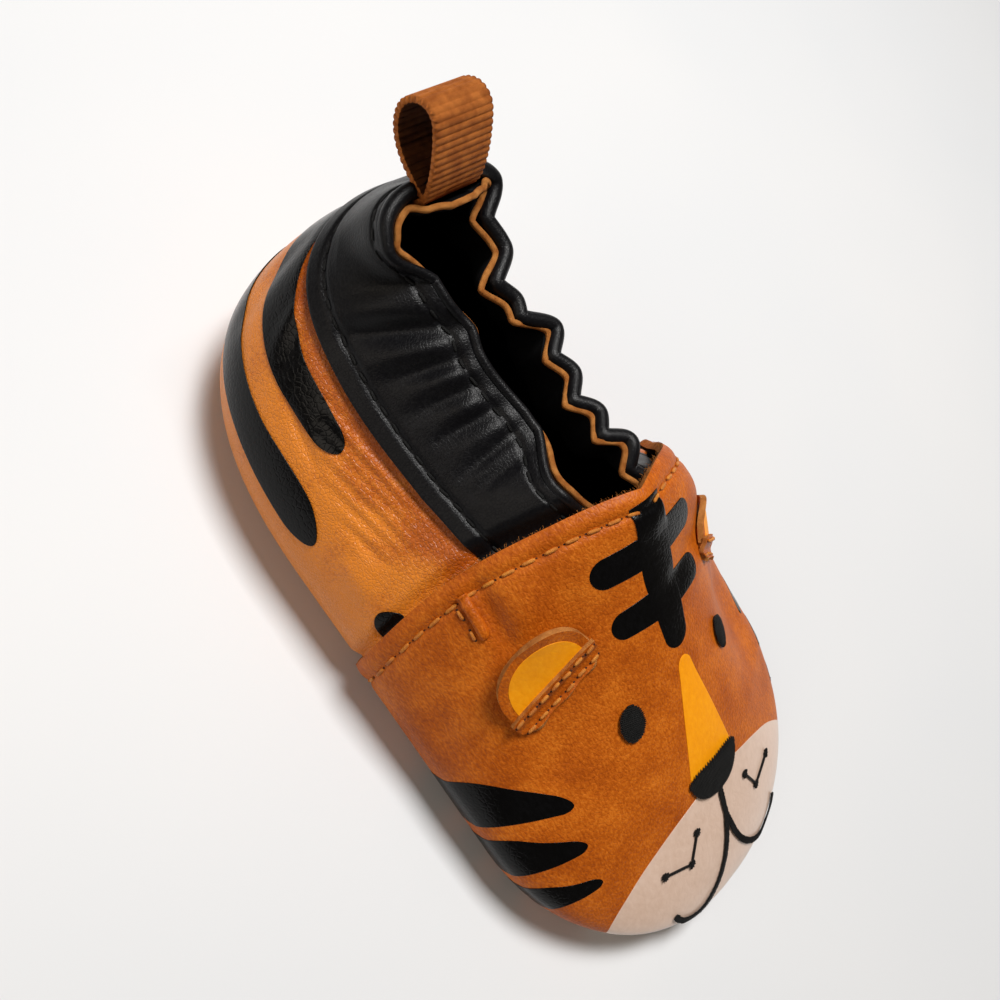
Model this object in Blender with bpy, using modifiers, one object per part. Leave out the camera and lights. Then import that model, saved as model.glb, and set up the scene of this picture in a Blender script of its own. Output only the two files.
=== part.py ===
"""Soft baby moccasin: sole, insole, hollow upper, gathered collar, pull loop and two ears.

The toe points to -Y and the sole rests on z = 0. All sizes are in metres.
"""
import math
from collections import namedtuple

import bmesh
import bpy
import numpy as np
from mathutils import Vector

# Outline of the widest line, seen from above
TOE_END = -0.0625
HEEL_END = 0.0632
TOE_ROUND_START = -0.0295
HEEL_ROUND_START = 0.0185
HALF_WIDTH = 0.0335
TOE_SQUARENESS = 2.05
HEEL_SQUARENESS = 2.5

# Walls and gaps
UPPER_WALL = 0.0016
VAMP_PROUD = 0.0007
COLLAR_WALL = 0.0018
SEAM_GAP = 0.0003
STEP_RUN = 0.00035

# Sole and insole
SOLE_THICKNESS = 0.0024
SOLE_EDGE_ROUND = 0.0005
INSOLE_THICKNESS = 0.0020
INSOLE_INSET = 0.0009
UPPER_CLEARANCE = 0.0004
TOE_SPRING = 0.0025
TOE_SPRING_START = -0.044
HEEL_LIFT = 0.0010
HEEL_LIFT_START = 0.047
ARCH_RISE = 0.0008
ARCH_START = -0.006
ARCH_END = 0.020
SPINE_FRONT = -0.034
SPINE_BACK = 0.034

# Crown of the dome: its two ends on the mid-plane
TOE_APEX = -0.0475
HEEL_APEX = 0.0455

# Collar gathers
GATHERS_PER_SIDE = 9
GATHER_DEPTH = 0.0009

# Pull loop
LOOP_RIBBON_WIDTH = 0.0105
LOOP_RIBBON_THICKNESS = 0.0010
LOOP_HEIGHT = 0.0135
LOOP_SPREAD = 0.0104
LOOP_LEAN = math.radians(33.0)
LOOP_SEGMENTS = 28

# Ears
EAR_THICKNESS = 0.0018
EAR_HEIGHT = 0.0086
EAR_END_HEIGHT = 0.0012
EAR_ROUNDNESS = 2.2
EAR_LIFT = math.radians(22.0)
EAR_BASE_INNER = (1.38, 1.65)
EAR_BASE_OUTER = (1.31, 1.40)
EAR_COLUMNS = 10
EAR_ROWS = 4

# Mesh counts along each stretch of the half shoe
TOE_COLUMNS = 12
VAMP_SIDE_COLUMNS = 8
QUARTER_SIDE_COLUMNS = 4
HEEL_COLUMNS = 12
TUCK_ROWS = 4
QUARTER_ROWS = 6
CROWN_ROWS = 6
COLLAR_COLUMNS_PER_GATHER = 4
COLLAR_ROWS = 5
MERGE_DISTANCE = 0.00002

# A row for each section around the shoe. turn is 0 at the toe tip, 1 where the toe round ends,
# 2 where the heel round starts and 3 at the heel back.
Section = namedtuple("Section", "turn bulge_height fullness crown_fall tuck")
SECTIONS = (
    Section(turn=0.0, bulge_height=0.0050, fullness=0.58, crown_fall=0.53, tuck=0.0055),
    Section(turn=1.0, bulge_height=0.0080, fullness=0.40, crown_fall=0.53, tuck=0.0060),
    Section(turn=1.7, bulge_height=0.0087, fullness=0.32, crown_fall=0.10, tuck=0.0078),
    Section(turn=2.0, bulge_height=0.0090, fullness=0.35, crown_fall=0.00, tuck=0.0078),
    Section(turn=3.0, bulge_height=0.0140, fullness=0.50, crown_fall=-0.30, tuck=0.0065),
)

# Height of the dome on the mid-plane, over the vamp and then over the collar opening
Crown = namedtuple("Crown", "y height")
CROWN = (
    Crown(y=-0.0475, height=0.0156),
    Crown(y=-0.0392, height=0.0202),
    Crown(y=-0.0222, height=0.0287),
    Crown(y=-0.0095, height=0.0354),
    Crown(y=0.0025, height=0.0419),
    Crown(y=0.0075, height=0.0416),
    Crown(y=0.0130, height=0.0400),
    Crown(y=0.0205, height=0.0387),
    Crown(y=0.0325, height=0.0410),
    Crown(y=0.0455, height=0.0500),
)

# Rear edge of the vamp. climb is 0 at the sole edge, 1 at the widest line and 2 on the crown.
EdgePoint = namedtuple("EdgePoint", "climb y")
VAMP_EDGE = (
    EdgePoint(climb=0.0, y=0.0048),
    EdgePoint(climb=1.0, y=0.0050),
    EdgePoint(climb=1.5, y=0.0072),
    EdgePoint(climb=1.7, y=0.0056),
    EdgePoint(climb=2.0, y=0.0025),
)

# Lower seam and gathered rim of the collar, as climbs on the dome
CollarLine = namedtuple("CollarLine", "turn seam rim")
COLLAR_LINES = (
    CollarLine(turn=1.70, seam=1.530, rim=1.790),
    CollarLine(turn=2.00, seam=1.528, rim=1.825),
    CollarLine(turn=2.30, seam=1.492, rim=1.815),
    CollarLine(turn=2.60, seam=1.435, rim=1.730),
    CollarLine(turn=3.00, seam=1.440, rim=1.800),
)

Finish = namedtuple("Finish", "color roughness")
TAN_LEATHER = Finish(color=(0.42, 0.17, 0.035, 1.0), roughness=0.42)
BLACK_LEATHER = Finish(color=(0.012, 0.012, 0.016, 1.0), roughness=0.38)
SUEDE = Finish(color=(0.36, 0.19, 0.08, 1.0), roughness=0.92)
LINING = Finish(color=(0.02, 0.02, 0.025, 1.0), roughness=0.85)
RIBBON = Finish(color=(0.30, 0.12, 0.03, 1.0), roughness=0.80)


def smooth_column(rows, column, place):
    """Read a table column at a place between its rows, on a smooth curve through them."""
    keys = np.array([row[0] for row in rows])
    values = np.array([getattr(row, column) for row in rows])
    slopes = np.gradient(values, keys)
    index = int(np.clip(np.searchsorted(keys, place) - 1, 0, len(keys) - 2))
    span = keys[index + 1] - keys[index]
    t = float(np.clip((place - keys[index]) / span, 0.0, 1.0))
    start = (2 * t**3 - 3 * t**2 + 1) * values[index] + (t**3 - 2 * t**2 + t) * span * slopes[index]
    end = (3 * t**2 - 2 * t**3) * values[index + 1] + (t**3 - t**2) * span * slopes[index + 1]
    return float(start + end)


def outline_point(turn, inset):
    """A point of the plan outline on the +X side, moved inwards by inset."""
    half = HALF_WIDTH - inset
    if turn <= 1.0:
        angle = turn * math.pi / 2
        reach = TOE_ROUND_START - TOE_END - inset
        x = half * math.sin(angle) ** (2 / TOE_SQUARENESS)
        return x, TOE_ROUND_START - reach * max(math.cos(angle), 0.0) ** (2 / TOE_SQUARENESS)
    if turn <= 2.0:
        return half, TOE_ROUND_START + (HEEL_ROUND_START - TOE_ROUND_START) * (turn - 1.0)
    angle = (turn - 2.0) * math.pi / 2
    reach = HEEL_END - HEEL_ROUND_START - inset
    x = half * max(math.cos(angle), 0.0) ** (2 / HEEL_SQUARENESS)
    if turn >= 3.0:
        x = 0.0
    return x, HEEL_ROUND_START + reach * math.sin(angle) ** (2 / HEEL_SQUARENESS)


def side_turn(y):
    """The turn of a section on the straight side of the shoe."""
    return 1.0 + (y - TOE_ROUND_START) / (HEEL_ROUND_START - TOE_ROUND_START)


def sole_rise(y):
    """Height of the sole's underside: toe spring, arch and heel lift, and flat between them."""
    if y < TOE_SPRING_START:
        return TOE_SPRING * ((TOE_SPRING_START - y) / (TOE_SPRING_START - TOE_END)) ** 2
    if y > HEEL_LIFT_START:
        return HEEL_LIFT * ((y - HEEL_LIFT_START) / (HEEL_END - HEEL_LIFT_START)) ** 2
    if ARCH_START < y < ARCH_END:
        share = (y - ARCH_START) / (ARCH_END - ARCH_START)
        return ARCH_RISE * math.sin(math.pi * share) ** 2
    return 0.0


def sole_edge_point(turn, inset=0.0):
    """A point of the sole's outline in plan."""
    return outline_point(turn, smooth_column(SECTIONS, "tuck", turn) + inset)


def crown_point(turn):
    """The point on the mid-plane that the section at this turn climbs to."""
    if turn <= 1.0:
        y = TOE_ROUND_START - (TOE_ROUND_START - TOE_APEX) * math.cos(turn * math.pi / 2)
    elif turn <= 2.0:
        y = outline_point(turn, 0.0)[1]
    else:
        y = HEEL_ROUND_START + (HEEL_APEX - HEEL_ROUND_START) * math.sin((turn - 2.0) * math.pi / 2)
    return np.array([0.0, y, smooth_column(CROWN, "height", y)])


def last_point(turn, climb):
    """The outer form of the shoe, shaped by the last, on the +X side."""
    wide_x, wide_y = outline_point(turn, 0.0)
    widest = np.array([wide_x, wide_y, smooth_column(SECTIONS, "bulge_height", turn)])
    if climb <= 1.0:
        edge_x, edge_y = sole_edge_point(turn)
        edge = np.array([edge_x, edge_y, UPPER_CLEARANCE + sole_rise(edge_y)])
        angle = climb * math.pi / 2
        point = edge + (widest - edge) * math.sin(angle)
        point[2] = edge[2] + (widest[2] - edge[2]) * (1.0 - math.cos(angle))
        return point
    crown = crown_point(turn)
    fullness = smooth_column(SECTIONS, "fullness", turn)
    outward = widest - crown
    outward[2] = smooth_column(SECTIONS, "crown_fall", turn) * outward[1]
    upward = crown - widest + outward
    t = climb - 1.0
    low_handle = widest + fullness * upward
    high_handle = crown + fullness * outward
    near = (1 - t) ** 3 * widest + 3 * (1 - t) ** 2 * t * low_handle
    return near + 3 * (1 - t) * t**2 * high_handle + t**3 * crown


def last_normal(turn, climb):
    """The outward direction of the last's surface."""
    step = 0.001
    climb_low = max(climb - step, 0.0)
    climb_high = min(climb + step, 2.0)
    up = last_point(turn, climb_high) - last_point(turn, climb_low)
    if turn <= 0.0:
        normal = np.array([0.0, -up[2], up[1]])
    elif turn >= 3.0:
        normal = np.array([0.0, up[2], -up[1]])
    else:
        along = last_point(min(turn + step, 3.0), climb) - last_point(max(turn - step, 0.0), climb)
        if climb >= 2.0:
            normal = np.array([0.0, -along[2], along[1]])
        else:
            normal = np.cross(along, up)
    return normal / np.linalg.norm(normal)


def wall_point(turn, climb, depth, upright_end=False):
    """A point at a depth inside the last's surface. An upright end has no slant along the foot."""
    normal = last_normal(turn, climb)
    if upright_end:
        normal[1] = 0.0
        normal = normal / np.linalg.norm(normal)
    return last_point(turn, climb) - depth * normal


def edge_turn(climb, behind=0.0):
    """The turn of the vamp's rear edge at a climb, or of a line a little behind it."""
    return side_turn(smooth_column(VAMP_EDGE, "y", climb) + behind)


def new_material(name, finish):
    material = bpy.data.materials.new(name)
    material.use_nodes = True
    shader = material.node_tree.nodes["Principled BSDF"]
    shader.inputs["Base Color"].default_value = finish.color
    shader.inputs["Roughness"].default_value = finish.roughness
    shader.inputs["Metallic"].default_value = 0.0
    return material


def new_object(name, mesh, finish, collection):
    mesh.materials.append(new_material(name + "_finish", finish))
    mesh.shade_smooth()
    piece = bpy.data.objects.new(name, mesh)
    collection.objects.link(piece)
    return piece


def grid_shell_mesh(name, outer, inner, cells):
    """A closed wall between two grids of points. Sides on the mid-plane stay open for a mirror."""
    bm = bmesh.new()
    found = {}

    def vertex(point):
        key = tuple(np.round(point, 7))
        if key not in found:
            found[key] = bm.verts.new(Vector(point))
        return found[key]

    def face(points):
        corners = list(dict.fromkeys(vertex(point) for point in points))
        if len(corners) > 2:
            bm.faces.new(corners)

    sides = {}
    for column, row in cells:
        corners = [(column, row), (column + 1, row), (column + 1, row + 1), (column, row + 1)]
        face([outer[corner] for corner in corners])
        face([inner[corner] for corner in reversed(corners)])
        for start, end in zip(corners, corners[1:] + corners[:1]):
            if (end, start) in sides:
                del sides[end, start]
            else:
                sides[start, end] = True
    for start, end in sides:
        points = [outer[end], outer[start], inner[start], inner[end]]
        if max(abs(point[0]) for point in points) > MERGE_DISTANCE:
            face(points)
    mesh = bpy.data.meshes.new(name)
    bm.to_mesh(mesh)
    bm.free()
    return mesh


def mirror_across_mid_plane(piece):
    mirror = piece.modifiers.new("Mirror", "MIRROR")
    mirror.use_axis = (True, False, False)
    mirror.use_clip = True
    mirror.merge_threshold = MERGE_DISTANCE


def shares(count):
    return [index / count for index in range(count + 1)]


def section_turns(share_list, start, end):
    return [start + (end - start) * share for share in share_list]


def seam_climb(turn):
    return smooth_column(COLLAR_LINES, "seam", turn)


def make_upper(collection):
    """Vamp and quarter in one hollow wall, open at the throat, the collar seam and the sole."""
    edge_seam = seam_climb(edge_turn(COLLAR_LINES[0].seam))
    lower_shares = shares(TUCK_ROWS)
    quarter_shares = shares(QUARTER_ROWS)[1:]
    crown_shares = shares(CROWN_ROWS)[1:]
    seam_row = TUCK_ROWS + QUARTER_ROWS
    front = [("toe", share) for share in shares(TOE_COLUMNS)]
    front += [("vamp", share) for share in shares(VAMP_SIDE_COLUMNS)[1:]]
    rear = [("quarter", share) for share in shares(QUARTER_SIDE_COLUMNS)]
    rear += [("heel", share) for share in shares(HEEL_COLUMNS)[1:]]
    edge_column = len(front) - 1

    def climbs(seam):
        rows = list(lower_shares)
        rows += [1.0 + (seam - 1.0) * share for share in quarter_shares]
        return rows + [seam + (2.0 - seam) * share for share in crown_shares]

    def turn_at(stretch, share, climb):
        if stretch == "toe":
            return share
        if stretch == "vamp":
            return 1.0 + share * (edge_turn(climb) - 1.0)
        if stretch == "quarter":
            start = edge_turn(climb, STEP_RUN)
            return start + share * (2.0 - start)
        return 2.0 + share

    outer = {}
    inner = {}
    cells = []
    for column, (stretch, share) in enumerate(front + rear):
        in_front = column <= edge_column
        seam = edge_seam if in_front else seam_climb(turn_at(stretch, share, edge_seam))
        last_row = seam_row + CROWN_ROWS if in_front else seam_row
        upright = column in (edge_column, edge_column + 1)
        for row, climb in enumerate(climbs(seam)[: last_row + 1]):
            turn = turn_at(stretch, share, climb)
            skin = 0.0 if in_front else VAMP_PROUD
            outer[column, row] = wall_point(turn, climb, skin, upright)
            inner[column, row] = wall_point(turn, climb, UPPER_WALL + VAMP_PROUD, upright)
        if column < len(front + rear) - 1:
            rows_here = seam_row + CROWN_ROWS if column < edge_column else seam_row
            cells += [(column, row) for row in range(rows_here)]
    upper = new_object("upper", grid_shell_mesh("upper", outer, inner, cells), TAN_LEATHER, collection)
    mirror_across_mid_plane(upper)
    return upper


def make_collar(collection):
    """A gathered band from the quarter's seam to the foot opening, round the heel."""
    columns = GATHERS_PER_SIDE * COLLAR_COLUMNS_PER_GATHER
    outer = {}
    inner = {}
    for column in range(columns + 1):
        share = column / columns
        for row in range(COLLAR_ROWS + 1):
            rise = row / COLLAR_ROWS
            start = edge_turn(1.5 + 0.3 * rise, STEP_RUN + SEAM_GAP)
            turn = start + share * (3.0 - start)
            low = seam_climb(turn) + climb_of_length(turn, SEAM_GAP)
            climb = low + rise * (smooth_column(COLLAR_LINES, "rim", turn) - low)
            if column == 0:
                turn = edge_turn(climb, STEP_RUN + SEAM_GAP)
            wave = GATHER_DEPTH * rise**2 * math.sin(math.pi * share)
            wave *= 1.0 - math.cos(2 * math.pi * GATHERS_PER_SIDE * share)
            outer[column, row] = wall_point(turn, climb, VAMP_PROUD + wave, column == 0)
            inner[column, row] = wall_point(turn, climb, VAMP_PROUD + wave + COLLAR_WALL, column == 0)
    cells = [(column, row) for column in range(columns) for row in range(COLLAR_ROWS)]
    collar = new_object("collar", grid_shell_mesh("collar", outer, inner, cells), BLACK_LEATHER, collection)
    mirror_across_mid_plane(collar)
    return collar


def climb_of_length(turn, length):
    """The climb that covers a length up the wall just above the collar seam."""
    step = 0.01
    seam = seam_climb(turn)
    reach = np.linalg.norm(last_point(turn, seam + step) - last_point(turn, seam))
    return step * length / reach


def plate_grids(inset, bottom, top, edge_round):
    """Upper and lower points of a plate that follows the sole, in rings from its edge to its spine."""
    turns = section_turns(shares(TOE_COLUMNS), 0.0, 1.0)
    side_columns = VAMP_SIDE_COLUMNS + QUARTER_SIDE_COLUMNS
    turns += section_turns(shares(side_columns), 1.0, 2.0)[1:]
    turns += section_turns(shares(HEEL_COLUMNS), 2.0, 3.0)[1:]
    rings = (1.0, 0.96, 0.7, 0.35, 0.0)
    upper_points = {}
    lower_points = {}
    for column, turn in enumerate(turns):
        edge_x, edge_y = sole_edge_point(turn, inset)
        spine_y = min(max(edge_y, SPINE_FRONT), SPINE_BACK)
        for ring, reach in enumerate(rings):
            x = edge_x * reach
            y = spine_y + (edge_y - spine_y) * reach
            rise = sole_rise(y)
            round_off = edge_round if ring == 0 else 0.0
            upper_points[column, ring] = np.array([x, y, rise + top])
            lower_points[column, ring] = np.array([x, y, rise + bottom + round_off])
    cells = [(column, ring) for column in range(len(turns) - 1) for ring in range(len(rings) - 1)]
    return upper_points, lower_points, cells


def make_sole(collection):
    """A soft flat sole with toe spring and a low arch."""
    grids = plate_grids(SEAM_GAP, 0.0, SOLE_THICKNESS, SOLE_EDGE_ROUND)
    sole = new_object("sole", grid_shell_mesh("sole", *grids), SUEDE, collection)
    mirror_across_mid_plane(sole)
    return sole


def make_insole(collection):
    """A padded sock that lies on the sole, inside the upper's turned-in edge."""
    bottom = SOLE_THICKNESS + SEAM_GAP
    grids = plate_grids(INSOLE_INSET, bottom, bottom + INSOLE_THICKNESS, 0.0)
    insole = new_object("insole", grid_shell_mesh("insole", *grids), LINING, collection)
    mirror_across_mid_plane(insole)
    return insole


def make_pull_loop(collection):
    """A ribbon loop that stands on the collar's rim at the heel."""
    rim = smooth_column(COLLAR_LINES, "rim", 3.0)
    foot = wall_point(3.0, rim, VAMP_PROUD + COLLAR_WALL / 2)
    axis = np.array([0.0, math.sin(LOOP_LEAN), math.cos(LOOP_LEAN)])
    across = np.array([0.0, math.cos(LOOP_LEAN), -math.sin(LOOP_LEAN)])
    foot = foot + axis * (SEAM_GAP + COLLAR_WALL / 2)
    bm = bmesh.new()
    rows = []
    for index in range(LOOP_SEGMENTS):
        angle = 2 * math.pi * index / LOOP_SEGMENTS
        height = LOOP_HEIGHT * (1.0 - math.cos(angle)) / 2
        spread = LOOP_SPREAD / 2 * math.sin(angle) * (0.55 + 0.45 * math.sin(angle / 2) ** 2)
        centre = foot + axis * height + across * spread
        left = bm.verts.new(Vector(centre) - Vector((LOOP_RIBBON_WIDTH / 2, 0.0, 0.0)))
        right = bm.verts.new(Vector(centre) + Vector((LOOP_RIBBON_WIDTH / 2, 0.0, 0.0)))
        rows.append((left, right))
    for index, (left, right) in enumerate(rows):
        next_left, next_right = rows[(index + 1) % LOOP_SEGMENTS]
        bm.faces.new((left, right, next_right, next_left))
    bmesh.ops.recalc_face_normals(bm, faces=bm.faces)
    mesh = bpy.data.meshes.new("pull_loop")
    bm.to_mesh(mesh)
    bm.free()
    loop = new_object("pull_loop", mesh, RIBBON, collection)
    ribbon = loop.modifiers.new("Ribbon", "SOLIDIFY")
    ribbon.thickness = LOOP_RIBBON_THICKNESS
    ribbon.offset = -1.0
    return loop


def make_ear(name, side, collection):
    """A half-round ear that leans back from its base line on the vamp."""
    middle_turn = (EAR_BASE_INNER[0] + EAR_BASE_OUTER[0]) / 2
    middle_climb = (EAR_BASE_INNER[1] + EAR_BASE_OUTER[1]) / 2
    normal = last_normal(middle_turn, middle_climb)
    base_line = last_point(*EAR_BASE_OUTER) - last_point(*EAR_BASE_INNER)
    back = np.cross(normal, base_line)
    back = back / np.linalg.norm(back)
    lean = back * math.cos(EAR_LIFT) + normal * math.sin(EAR_LIFT)
    bm = bmesh.new()
    grid = {}
    for column, share in enumerate(shares(EAR_COLUMNS)):
        turn = EAR_BASE_INNER[0] + share * (EAR_BASE_OUTER[0] - EAR_BASE_INNER[0])
        climb = EAR_BASE_INNER[1] + share * (EAR_BASE_OUTER[1] - EAR_BASE_INNER[1])
        base = last_point(turn, climb) + last_normal(turn, climb) * (SEAM_GAP + EAR_THICKNESS / 2)
        rounding = (1.0 - abs(2 * share - 1.0) ** EAR_ROUNDNESS) ** (1 / EAR_ROUNDNESS)
        height = EAR_END_HEIGHT + (EAR_HEIGHT - EAR_END_HEIGHT) * rounding
        for row, rise in enumerate(shares(EAR_ROWS)):
            point = base + lean * height * rise
            grid[column, row] = bm.verts.new(Vector((point[0] * side, point[1], point[2])))
    for column in range(EAR_COLUMNS):
        for row in range(EAR_ROWS):
            corners = [(column, row), (column + 1, row), (column + 1, row + 1), (column, row + 1)]
            bm.faces.new([grid[corner] for corner in corners])
    mesh = bpy.data.meshes.new(name)
    bm.to_mesh(mesh)
    bm.free()
    ear = new_object(name, mesh, TAN_LEATHER, collection)
    plate = ear.modifiers.new("Thickness", "SOLIDIFY")
    plate.thickness = EAR_THICKNESS
    plate.offset = 0.0
    return ear


def main():
    for piece in list(bpy.data.objects):
        bpy.data.objects.remove(piece, do_unlink=True)
    collection = bpy.data.collections.new("baby_moccasin")
    bpy.context.scene.collection.children.link(collection)
    make_sole(collection)
    make_insole(collection)
    make_upper(collection)
    make_collar(collection)
    make_pull_loop(collection)
    make_ear("ear_left", 1, collection)
    make_ear("ear_right", -1, collection)


main()
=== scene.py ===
"""Looks of a soft baby moccasin: a tiger-faced vamp, a gathered collar and a ribbon pull loop.

Sizes are in millimetres in the frame's axes, with the toe to -Y and the sole on z = 0. A finished mesh is
scaled to metres.
"""
import math
from collections import namedtuple

import bmesh
import bpy
import numpy as np
from mathutils import Matrix, Vector
from mathutils.bvhtree import BVHTree


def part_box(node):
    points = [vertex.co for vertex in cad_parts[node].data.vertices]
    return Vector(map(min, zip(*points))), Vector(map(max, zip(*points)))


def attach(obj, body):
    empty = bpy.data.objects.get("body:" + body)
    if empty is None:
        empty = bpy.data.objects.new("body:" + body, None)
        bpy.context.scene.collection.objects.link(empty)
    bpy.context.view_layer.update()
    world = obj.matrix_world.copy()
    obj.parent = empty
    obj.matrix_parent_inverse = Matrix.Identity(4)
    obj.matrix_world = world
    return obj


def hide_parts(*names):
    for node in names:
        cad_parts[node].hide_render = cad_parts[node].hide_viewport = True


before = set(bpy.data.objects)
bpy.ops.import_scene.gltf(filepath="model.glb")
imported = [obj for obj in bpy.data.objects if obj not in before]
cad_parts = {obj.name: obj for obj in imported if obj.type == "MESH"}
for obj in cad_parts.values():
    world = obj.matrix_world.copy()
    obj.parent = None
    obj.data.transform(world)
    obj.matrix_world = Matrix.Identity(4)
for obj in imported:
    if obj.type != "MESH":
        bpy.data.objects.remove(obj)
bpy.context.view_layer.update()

MM = 0.001
WELD = 0.002
BEVEL_ANGLE = math.radians(50.0)
CUT_BEVEL = 0.25
THREAD_BLUNTNESS = 0.45
STITCH_LIFT = 0.18
STITCH_SLIP = 0.08
STITCH_SWAY = 0.07
STITCH_FLATNESS = 0.85
HOLE_PLACE = 0.35
HOLE_REACH = 0.6
HOLE_WIDTH = 0.8
HOLE_FLATNESS = 0.2
draw = np.random.default_rng(7)


def table(fields, *rows):
    """Rows of values with a name for each column."""
    row_type = namedtuple("Row", fields)
    return tuple(row_type(*row) for row in rows)


# The last: the shoe's outer form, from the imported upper's box and the sections below
upper_low, upper_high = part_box("upper")
TOE_END = upper_low[1] / MM
HALF_WIDTH = upper_high[0] / MM
QUARTER_INSET = 0.7
HEEL_END = upper_high[1] / MM + QUARTER_INSET
TOE_ROUND_START = -29.5
HEEL_ROUND_START = 18.5
SIDE_LENGTH = HEEL_ROUND_START - TOE_ROUND_START
TOE_SQUARENESS = 2.05
HEEL_SQUARENESS = 2.5
TOE_APEX = -47.5
HEEL_APEX = 45.5
SOLE_CLEARANCE = 0.4
TOE_SPRING = 2.5
TOE_SPRING_START = -44.0
HEEL_LIFT = 1.0
HEEL_LIFT_START = 47.0

# turn is 0 at the toe tip, 1 where the toe round ends, 2 where the heel round starts, 3 at the heel back
SECTIONS = table(
    "turn bulge_height fullness crown_fall tuck",
    (0.0, 5.0, 0.58, 0.53, 5.5), (1.0, 8.0, 0.40, 0.53, 6.0), (1.7, 8.7, 0.32, 0.10, 7.8),
    (2.0, 9.0, 0.35, 0.00, 7.8), (3.0, 14.0, 0.50, -0.30, 6.5),
)
CROWN = table(
    "y height",
    (-47.5, 15.6), (-39.2, 20.2), (-22.2, 28.7), (-9.5, 35.4), (2.5, 41.9), (7.5, 41.6), (13.0, 40.0),
    (20.5, 38.7), (32.5, 41.0), (45.5, 50.0),
)
# climb is 0 at the sole edge, 1 at the widest line and 2 on the crown
VAMP_EDGE = table(
    "climb y",
    (0.0, 4.8), (1.0, 5.0), (1.5, 7.2), (1.7, 5.6), (2.0, 2.5),
)
COLLAR_LINES = table(
    "turn seam rim",
    (1.70, 1.530, 1.790), (2.00, 1.528, 1.825), (2.30, 1.492, 1.815), (2.60, 1.435, 1.730),
    (3.00, 1.440, 1.800),
)


def read_column(rows, column, places):
    """Values of a table column at places between its rows, on a smooth curve through them."""
    keys = np.array([row[0] for row in rows])
    values = np.array([getattr(row, column) for row in rows])
    slopes = np.gradient(values, keys)
    places = np.clip(places, keys[0], keys[-1])
    index = np.clip(np.searchsorted(keys, places, side="right") - 1, 0, len(keys) - 2)
    span = keys[index + 1] - keys[index]
    t = (places - keys[index]) / span
    start = (2 * t**3 - 3 * t**2 + 1) * values[index] + (t**3 - 2 * t**2 + t) * span * slopes[index]
    end = (3 * t**2 - 2 * t**3) * values[index + 1] + (t**3 - t**2) * span * slopes[index + 1]
    return start + end


def ramp(value, low, high):
    """0 below low, 1 above high, and smooth between them."""
    t = np.clip((value - low) / (high - low), 0.0, 1.0)
    return t * t * (3 - 2 * t)


def hump(value, centre, width):
    """1 at the centre, falling smoothly to 0 over about twice the width."""
    return np.exp(-(((value - centre) / width) ** 2))


def unit(vectors):
    return vectors / np.linalg.norm(vectors, axis=-1, keepdims=True)


def outline(turn, inset):
    """The plan outline on the +X side, moved inwards by inset."""
    toe = np.clip(turn, 0.0, 1.0) * math.pi / 2
    heel = np.clip(turn - 2.0, 0.0, 1.0) * math.pi / 2
    toe_share = np.clip(np.cos(toe), 0.0, 1.0) ** (2 / TOE_SQUARENESS)
    heel_share = np.sin(heel) ** (2 / HEEL_SQUARENESS)
    round_front = np.sin(toe) ** (2 / TOE_SQUARENESS)
    round_back = np.where(turn >= 3.0, 0.0, np.clip(np.cos(heel), 0.0, 1.0) ** (2 / HEEL_SQUARENESS))
    x = (HALF_WIDTH - inset) * np.where(turn <= 1.0, round_front, round_back)
    y = TOE_ROUND_START + SIDE_LENGTH * np.clip(turn - 1.0, 0.0, 1.0)
    y = y - (TOE_ROUND_START - TOE_END - inset) * toe_share
    y = y + (HEEL_END - HEEL_ROUND_START - inset) * heel_share
    return x, y


def sole_rise(y):
    """Height of the sole's underside at the toe spring and the heel lift."""
    toe = np.clip((TOE_SPRING_START - y) / (TOE_SPRING_START - TOE_END), 0.0, None)
    heel = np.clip((y - HEEL_LIFT_START) / (HEEL_END - HEEL_LIFT_START), 0.0, None)
    return TOE_SPRING * toe**2 + HEEL_LIFT * heel**2


def last(turn, climb):
    """Points of the outer form on the +X side."""
    turn, climb = np.broadcast_arrays(np.asarray(turn, float), np.asarray(climb, float))
    wide_x, wide_y = outline(turn, 0.0)
    edge_x, edge_y = outline(turn, read_column(SECTIONS, "tuck", turn))
    widest = np.stack([wide_x, wide_y, read_column(SECTIONS, "bulge_height", turn)], axis=-1)
    edge = np.stack([edge_x, edge_y, SOLE_CLEARANCE + sole_rise(edge_y)], axis=-1)
    angle = np.clip(climb, 0.0, 1.0)[..., None] * math.pi / 2
    share = np.concatenate([np.sin(angle), np.sin(angle), 1.0 - np.cos(angle)], axis=-1)
    tucked = edge + (widest - edge) * share
    toe = np.cos(np.clip(turn, 0.0, 1.0) * math.pi / 2)
    heel = np.sin(np.clip(turn - 2.0, 0.0, 1.0) * math.pi / 2)
    crown_y = TOE_ROUND_START + SIDE_LENGTH * np.clip(turn - 1.0, 0.0, 1.0)
    crown_y = crown_y - (TOE_ROUND_START - TOE_APEX) * toe + (HEEL_APEX - HEEL_ROUND_START) * heel
    crown = np.stack([np.zeros_like(crown_y), crown_y, read_column(CROWN, "height", crown_y)], axis=-1)
    outward = widest - crown
    outward[..., 2] = read_column(SECTIONS, "crown_fall", turn) * outward[..., 1]
    fullness = read_column(SECTIONS, "fullness", turn)[..., None]
    low_handle = widest + fullness * (crown - widest + outward)
    high_handle = crown + fullness * outward
    t = np.clip(climb - 1.0, 0.0, 1.0)[..., None]
    rest = 1 - t
    domed = rest**3 * widest + 3 * rest**2 * t * low_handle + 3 * rest * t**2 * high_handle + t**3 * crown
    return np.where((climb <= 1.0)[..., None], tucked, domed)


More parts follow.
